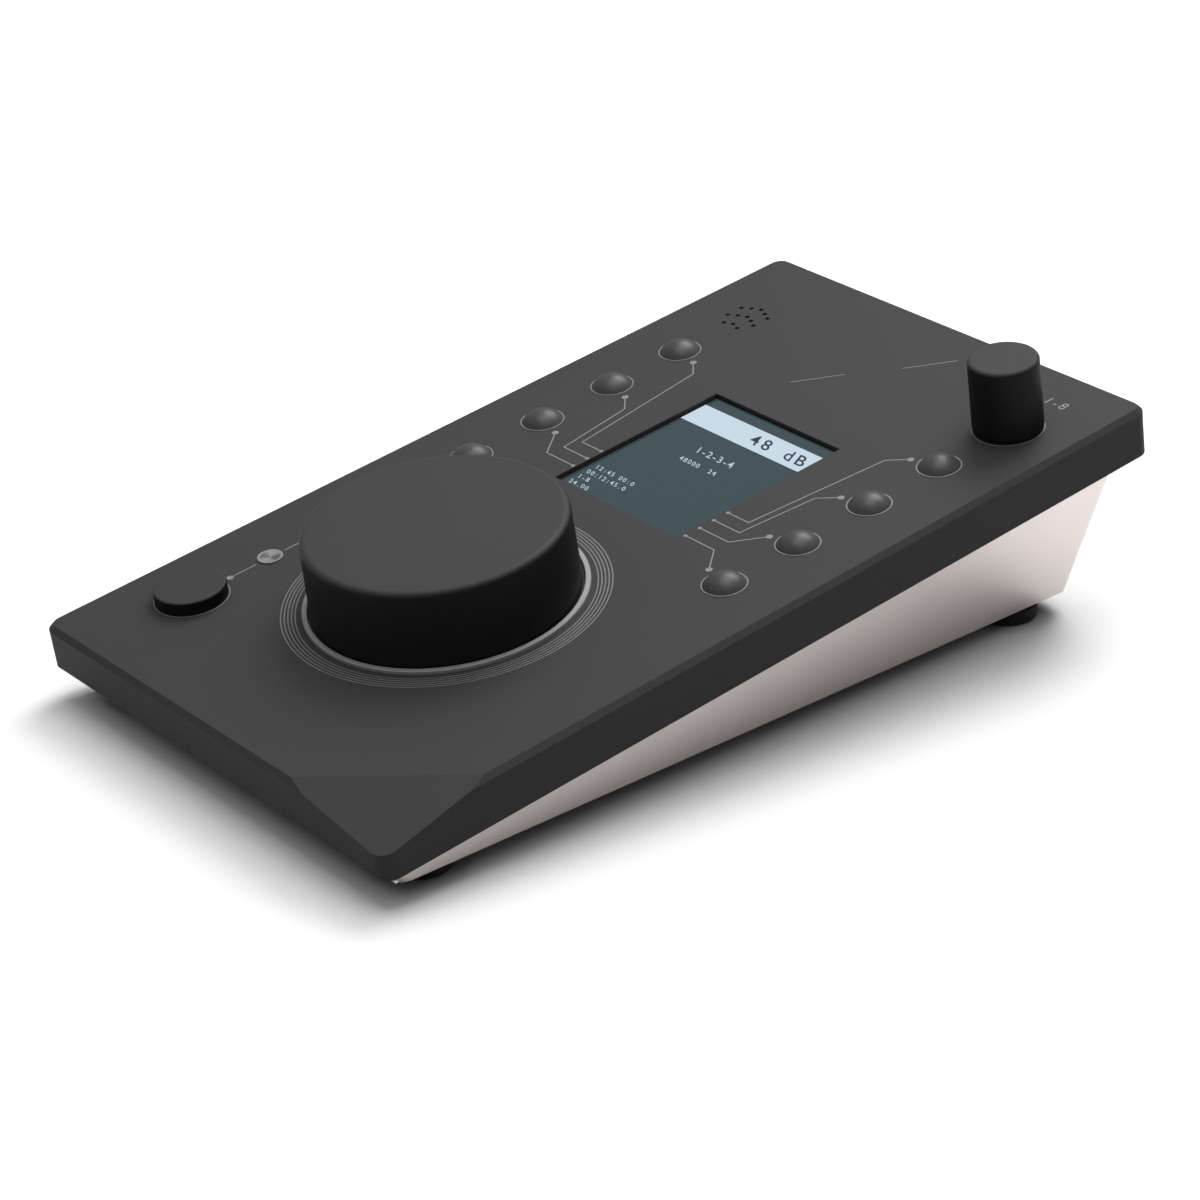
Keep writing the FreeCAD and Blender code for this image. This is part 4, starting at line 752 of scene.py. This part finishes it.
class CONTROLLER_OT_display(bpy.types.Operator):
    """Finishes the display and draws its picture just above the screen, under the lens"""

    bl_idname = "controller.display"
    bl_label = "Display"

    def execute(self, context):
        colours = context.scene.controller_colours
        background = opaque(colours.screen)
        finish(clear_acrylic(), "display_lens")
        finish(moulded_frame(), "display_frame")
        finish(amber_film(), "display_ribbon")
        finish(lit_picture("lit_screen", background), "display_screen")

        # The picture is built of layers of one thickness, and runs on under the panel's lip
        layer = 0.02 * MM
        overlap = 2.0 * MM
        across = (WINDOW_LOW.x - overlap, WINDOW_HIGH.x + overlap)
        along = (WINDOW_LOW.y - overlap, WINDOW_HIGH.y + overlap)
        film(
            "display_picture", [box_outline(across, along)],
            SCREEN_TOP + layer, layer, lit_picture("lit_background", background),
        )
        band_foot = WINDOW_HIGH.y - 12.05 * MM
        band_height = 8.1 * MM
        film(
            "display_level_band", [box_outline(across, (band_foot, band_foot + band_height))],
            SCREEN_TOP + 2 * layer, layer, lit_picture("lit_band", opaque(colours.band)),
        )
        self.print_border()

        lean = -0.44
        level, level_step = "48 dB", 4.0 * MM
        level_right = 19.9 * MM
        lettering(
            "display_level",
            [(level, level_right - len(level) * level_step, band_foot + 2.0 * MM, level_step, 4.2 * MM)],
            SCREEN_TOP + 3 * layer, layer, lit_picture("lit_level", linear("#2c3a44")),
            lean, 0.012,
        )
        # Two lines in the middle, and four smaller ones in the near left corner
        middle = WINDOW_HIGH.y - 20.9 * MM
        lines = [
            ("1-2-3-4", -6.6 * MM, middle, 1.9 * MM, 2.5 * MM),
            ("48000  24", -7.0 * MM, middle - 4.8 * MM, 1.47 * MM, 1.7 * MM),
        ]
        corner_left = WINDOW_LOW.x + 2.2 * MM
        corner_top, corner_pitch = WINDOW_LOW.y + 10.1 * MM, 2.72 * MM
        for number, text in enumerate(("12:45 00:0", "00:12:45.0", "1-8", "24.00")):
            foot = corner_top - corner_pitch * number
            lines.append((text, corner_left, foot, 1.44 * MM, 1.6 * MM))
        lettering(
            "display_figures", lines, SCREEN_TOP + 2 * layer, layer,
            lit_picture("lit_figures", linear("#c2d2dc")), lean, 0.01,
        )
        return {"FINISHED"}

    def print_border(self):
        """The lens is printed black along the window's edge."""
        edge = 0.65 * MM
        low, high = WINDOW_LOW, WINDOW_HIGH
        inner = (low.x + edge, high.x - edge)
        film(
            "display_border",
            [
                box_outline((low.x, inner[0]), (low.y, high.y)),
                box_outline((inner[1], high.x), (low.y, high.y)),
                box_outline(inner, (low.y, low.y + edge)),
                box_outline(inner, (high.y - edge, high.y)),
            ],
            LENS_HIGH.z + INK_LIFT, 0.01 * MM, border_ink(),
        )


class CONTROLLER_OT_volume(bpy.types.Operator):
    """Finishes the volume knob, its ring and its encoder, and bares the turned lines round it"""

    bl_idname = "controller.volume"
    bl_label = "Volume knob"

    def execute(self, context):
        colours = context.scene.controller_colours
        # The darker wall colour is painted shade
        crown, wall = opaque(colours.knob_crown), opaque(colours.knob_wall_shade)
        finish(turned_knob("volume_turned_black", VOLUME, crown, wall), "volume_knob")
        finish(bright_turned_ring(VOLUME), "volume_trim_ring")
        finish(nickel_plated(), "volume_encoder", "volume_nut", "select_encoder", "select_nut")
        finish(ground_steel(), "volume_shaft", "select_shaft")

        # The lines fill the panel's five grooves but for a thin edge
        first_radius, pitch = 34.45 * MM, 0.825 * MM
        width, depth = 0.34 * MM, 0.2 * MM
        edge = 0.01 * MM
        inner_radii = [first_radius + pitch * number for number in range(5)]
        rings = [(radius + edge, radius + width - edge) for radius in inner_radii]
        rings_film(
            "volume_turned_lines", rings, VOLUME, -depth + edge, depth - 2 * edge, cut_edge()
        )
        return {"FINISHED"}


class CONTROLLER_OT_select(bpy.types.Operator):
    """Finishes the select knob and prints the figures that stand behind it"""

    bl_idname = "controller.select"
    bl_label = "Select knob"

    def execute(self, context):
        colours = context.scene.controller_colours
        # The darker wall colour is painted shade
        crown, wall = opaque(colours.knob_crown), opaque(colours.knob_wall_shade)
        finish(turned_knob("select_turned_black", SELECT, crown, wall), "select_knob")
        left, foot = SELECT.x - 3.0 * MM, SELECT.y + 14.0 * MM
        lettering(
            "select_figures", [("1-8", left, foot, 2.4 * MM, 3.0 * MM)],
            INK_LIFT, context.scene.controller_print.thickness, screen_printing_ink(),
        )
        return {"FINISHED"}


class CONTROLLER_OT_buttons(bpy.types.Operator):
    """Finishes the domed and round buttons, their rings and the spun disc"""

    bl_idname = "controller.buttons"
    bl_label = "Buttons"

    def execute(self, context):
        finish(satin_button(), *(f"dome_{hand}_{row + 1}" for hand, side in SIDES for row in ROWS))
        finish(flat_button(), "round_button")
        finish(cut_edge(), "dome_rings", "round_button_ring", "select_ring")
        finish(spun_disc_painted_sheen(), "status_disc")
        return {"FINISHED"}


class CONTROLLER_OT_print(bpy.types.Operator):
    """Prints the lines from the display to the domes, past the disc and behind the display"""

    bl_idname = "controller.print"
    bl_label = "Printed lines"

    def execute(self, context):
        sizes = context.scene.controller_print
        ink = screen_printing_ink()
        for hand, side in SIDES:
            # The nearest button on the left has no line
            rows = ROWS[1:] if hand == "left" else ROWS
            outlines = [outline for row in rows for outline in self.dome_line(side, row, sizes)]
            film(f"printed_lines_{hand}", outlines, INK_LIFT, sizes.thickness, ink)
        film(
            "printed_disc_line", self.disc_line(sizes), INK_LIFT, sizes.thickness, ink
        )
        film(
            "printed_hairlines", self.hairlines(sizes), INK_LIFT, sizes.thickness, ink
        )
        return {"FINISHED"}

    def dome_line(self, side, row, sizes):
        """A line from beside the window, out to an elbow and on to a dome, with a dot at each end."""
        first_foot, pitch = WINDOW_LOW.y + 1.85 * MM, 4.35 * MM
        window_gap = 1.0 * MM
        elbow = (33.1 * MM, 33.1 * MM, 31.9 * MM, 30.2 * MM)[row]
        shift = 0.25 * MM
        dome = DOMES[side, row]
        foot = first_foot + pitch * row
        start = (side * (WINDOW_HIGH.x + window_gap) + shift, foot)
        route = [start, (side * elbow + shift, foot)]
        # The two far lines bend once more, beside their dome
        if row > 1:
            route.append((side * 34.4 * MM, dome.y - 6.0 * MM))
        end_reach = 7.45 * MM
        rise = 1.9 * MM if row == 0 else -2.0 * MM
        end = (dome.x - side * end_reach, dome.y + rise)
        return [
            strip_outline(route + [end], sizes.line_width),
            disc_outline(start, sizes.window_dot),
            disc_outline(end, sizes.button_dot),
        ]

    def disc_line(self, sizes):
        """A line from the round button to the disc, and on from the disc to the volume knob's ring."""
        clear = 3.1 * MM + 1.0 * MM
        near, far = (DISC.x, DISC.y - clear), (DISC.x, DISC.y + clear)
        start = (BUTTON.x, BUTTON.y + 10.8 * MM)
        bend = (DISC.x, -6.0 * MM)
        end = (-39.9 * MM, 0)
        return [
            disc_outline(start, sizes.button_dot),
            strip_outline([start, near], sizes.line_width),
            strip_outline([far, bend, end], sizes.line_width),
        ]

    def hairlines(self, sizes):
        """Two slanting lines either side of a bare middle."""
        x, y = 0.5 * MM, WINDOW_HIGH.y + 31.25 * MM
        inner, outer = (4.5 * MM, 5.3 * MM), (12.4 * MM, 16.3 * MM)
        slants = [[(x + way * run, y + way * rise) for run, rise in (inner, outer)] for way in (-1, 1)]
        return [strip_outline(slant, sizes.hairline_width) for slant in slants]


class CONTROLLER_OT_rear(bpy.types.Operator):
    """Gives the rear connectors their finishes"""

    bl_idname = "controller.rear"
    bl_label = "Rear connectors"

    def execute(self, context):
        finish(socket_plastic(), "link_socket")
        finish(gold_plated(), "link_contacts")
        finish(drawn_steel(), "power_inlet")
        return {"FINISHED"}


# ---- stage ----------------------------------------------------------------------------------------------

def direct_view(tree):
    """1 for what the camera, a reflection or clear plastic shows, 0 for light on a surface. Light that
    reaches a matt surface by way of a metal one counts as light too."""
    path = add_node(tree, "ShaderNodeLightPath")
    first = add_node(
        tree, "ShaderNodeMath",
        {0: path.outputs["Is Camera Ray"], 1: path.outputs["Is Glossy Ray"]}, operation="MAXIMUM",
    )
    shown = add_node(
        tree, "ShaderNodeMath",
        {0: first.outputs[0], 1: path.outputs["Is Transmission Ray"]}, operation="MAXIMUM",
    )
    return add_node(
        tree, "ShaderNodeMath",
        {0: shown.outputs[0], 1: path.outputs["Diffuse Depth"]}, operation="SUBTRACT", use_clamp=True,
    ).outputs[0]


def white_room(settings):
    """A world that lights the part softly from above and shows the camera plain white."""
    world = bpy.data.worlds.new("white_room")
    world.use_nodes = True
    tree = world.node_tree
    background = tree.nodes["Background"]
    background.inputs["Color"].default_value = (1, 1, 1, 1)
    direction = add_node(tree, "ShaderNodeTexCoord").outputs["Generated"]
    height = add_node(tree, "ShaderNodeSeparateXYZ", {"Vector": direction}).outputs["Z"]
    room = add_node(
        tree, "ShaderNodeMapRange", {"Value": height, "To Min": settings.horizon, "To Max": settings.zenith}
    )
    seen = add_node(tree, "ShaderNodeLightPath").outputs["Is Camera Ray"]
    strength = add_node(
        tree, "ShaderNodeMapRange", {"Value": seen, "To Min": room.outputs["Result"], "To Max": 1.0}
    )
    tree.links.new(strength.outputs["Result"], background.inputs["Strength"])
    return world


def white_floor(settings):
    """Matt white paper that keeps the part's shadow, with painted shade where the part nearly meets it,
    fades to plain white and is clear from below.
    """
    paper = bpy.data.materials.new("white_floor")
    paper.use_nodes = True
    tree = paper.node_tree
    tree.nodes.remove(tree.nodes["Principled BSDF"])
    # Just enough for the lit floor to show as white
    shown_tone = 1.12
    shade = add_node(
        tree, "ShaderNodeMapRange",
        {"Value": direct_view(tree), "To Min": settings.bounce, "To Max": shown_tone},
    )
    # Painted shade: where the part nearly meets the floor, occlusion darkens the floor's colour, so the gap
    # between them goes dark
    contact_shade = add_node(tree, "ShaderNodeAmbientOcclusion", {"Distance": 5 * MM}, samples=2)
    shaded_tone = add_node(
        tree, "ShaderNodeMath", {0: shade.outputs["Result"], 1: contact_shade.outputs["AO"]}, operation="MULTIPLY"
    )
    matt = add_node(tree, "ShaderNodeBsdfDiffuse", {"Color": shaded_tone.outputs[0]})
    # Away from the part, where the lamps fade, the floor shows plain white up to the horizon
    place = add_node(tree, "ShaderNodeTexCoord").outputs["Object"]
    span = add_node(tree, "ShaderNodeVectorMath", {0: place}, operation="LENGTH").outputs["Value"]
    fade_start, fade_end = 0.35, 0.7
    far = add_node(
        tree, "ShaderNodeMapRange", {"Value": span, "From Min": fade_start, "From Max": fade_end},
        interpolation_type="SMOOTHSTEP",
    )
    share = add_node(
        tree, "ShaderNodeMath", {0: far.outputs["Result"], 1: direct_view(tree)}, operation="MULTIPLY"
    )
    white = add_node(tree, "ShaderNodeEmission", {"Strength": 1.0})
    upper = add_node(
        tree, "ShaderNodeMixShader", {0: share.outputs[0], 1: matt.outputs[0], 2: white.outputs[0]}
    )
    # From below the floor is clear, so that the underside shows
    below = add_node(tree, "ShaderNodeNewGeometry").outputs["Backfacing"]
    clear = add_node(tree, "ShaderNodeBsdfTransparent")
    both = add_node(tree, "ShaderNodeMixShader", {0: below, 1: upper.outputs[0], 2: clear.outputs[0]})
    tree.links.new(both.outputs[0], tree.nodes["Material Output"].inputs["Surface"])
    return paper


def add_floor(scene, settings):
    """A square of paper just under the feet, so that their faces don't coincide with it."""
    reach, drop = 4.0, 0.02 * MM
    corners = [(x * reach, y * reach, -drop) for x, y in ((-1, -1), (1, -1), (1, 1), (-1, 1))]
    mesh = bpy.data.meshes.new("floor")
    mesh.from_pydata(corners, [], [(0, 1, 2, 3)])
    mesh.materials.append(white_floor(settings))
    floor = bpy.data.objects.new("floor", mesh)
    scene.collection.objects.link(floor)


def add_lamp(scene, name, power, size, place):
    """A round soft lamp that points at the origin."""
    lamp = bpy.data.lights.new(name, "AREA")
    lamp.shape = "DISK"
    lamp.size = size
    lamp.energy = power
    holder = bpy.data.objects.new(name, lamp)
    holder.location = place
    holder.rotation_euler = (-holder.location).to_track_quat("-Z", "Y").to_euler()
    scene.collection.objects.link(holder)


def add_camera(scene):
    """A long lens, square to its frame, at the front right and above."""
    place = (0.6113, -0.5024, 0.3945)
    right = Vector((0.6335, 0.7737, 0.0)).normalized()
    forward = Vector((-0.6975, 0.5711, -0.4329)).normalized()
    camera = bpy.data.cameras.new("camera")
    camera.lens = 112.04
    camera.sensor_width = 36.0
    holder = bpy.data.objects.new("camera", camera)
    up = right.cross(forward).normalized()
    turn = Matrix((right, up, -forward)).transposed()
    holder.matrix_world = Matrix.Translation(place) @ turn.to_4x4()
    scene.collection.objects.link(holder)
    scene.camera = holder


class CONTROLLER_OT_stage(bpy.types.Operator):
    """Sets up the pale floor, the room, the lamps and the camera"""

    bl_idname = "controller.stage"
    bl_label = "Stage"

    def execute(self, context):
        scene = context.scene
        settings = scene.controller_stage
        scene.view_settings.view_transform = "Standard"
        scene.world = white_room(settings)
        add_floor(scene, settings)
        add_lamp(scene, "top", settings.top_power, 0.9, (0.0, 0.0, 1.2))
        # The rear lamp stands just outside what the display's lens mirrors to the camera
        add_lamp(scene, "rear", settings.rear_power, 0.76, (-0.28, 0.66, 0.96))
        add_camera(scene)
        return {"FINISHED"}


# ---- add-on ---------------------------------------------------------------------------------------------

STEPS = ("case", "boards", "display", "volume", "select", "buttons", "print", "rear", "stage")


class CONTROLLER_PT_panel(bpy.types.Panel):
    """The controller's pieces, sizes and colours"""

    bl_idname = "CONTROLLER_PT_panel"
    bl_label = "Monitor Controller"
    bl_space_type = "VIEW_3D"
    bl_region_type = "UI"
    bl_category = "Controller"

    def draw(self, context):
        layout = self.layout
        for step in STEPS:
            layout.operator("controller." + step)
        for group in ("controller_print", "controller_colours", "controller_stage"):
            settings = getattr(context.scene, group)
            box = layout.box()
            for name in settings.__annotations__:
                box.prop(settings, name)


CLASSES = (
    PrintSettings,
    FinishColours,
    StageSettings,
    CONTROLLER_OT_case,
    CONTROLLER_OT_boards,
    CONTROLLER_OT_display,
    CONTROLLER_OT_volume,
    CONTROLLER_OT_select,
    CONTROLLER_OT_buttons,
    CONTROLLER_OT_print,
    CONTROLLER_OT_rear,
    CONTROLLER_OT_stage,
    CONTROLLER_PT_panel,
)


def register():
    for cls in CLASSES:
        bpy.utils.register_class(cls)
    bpy.types.Scene.controller_print = PointerProperty(type=PrintSettings)
    bpy.types.Scene.controller_colours = PointerProperty(type=FinishColours)
    bpy.types.Scene.controller_stage = PointerProperty(type=StageSettings)


def unregister():
    del bpy.types.Scene.controller_print
    del bpy.types.Scene.controller_colours
    del bpy.types.Scene.controller_stage
    for cls in reversed(CLASSES):
        bpy.utils.unregister_class(cls)


def main():
    register()
    for step in STEPS:
        getattr(bpy.ops.controller, step)()


if __name__ == "__main__":
    main()
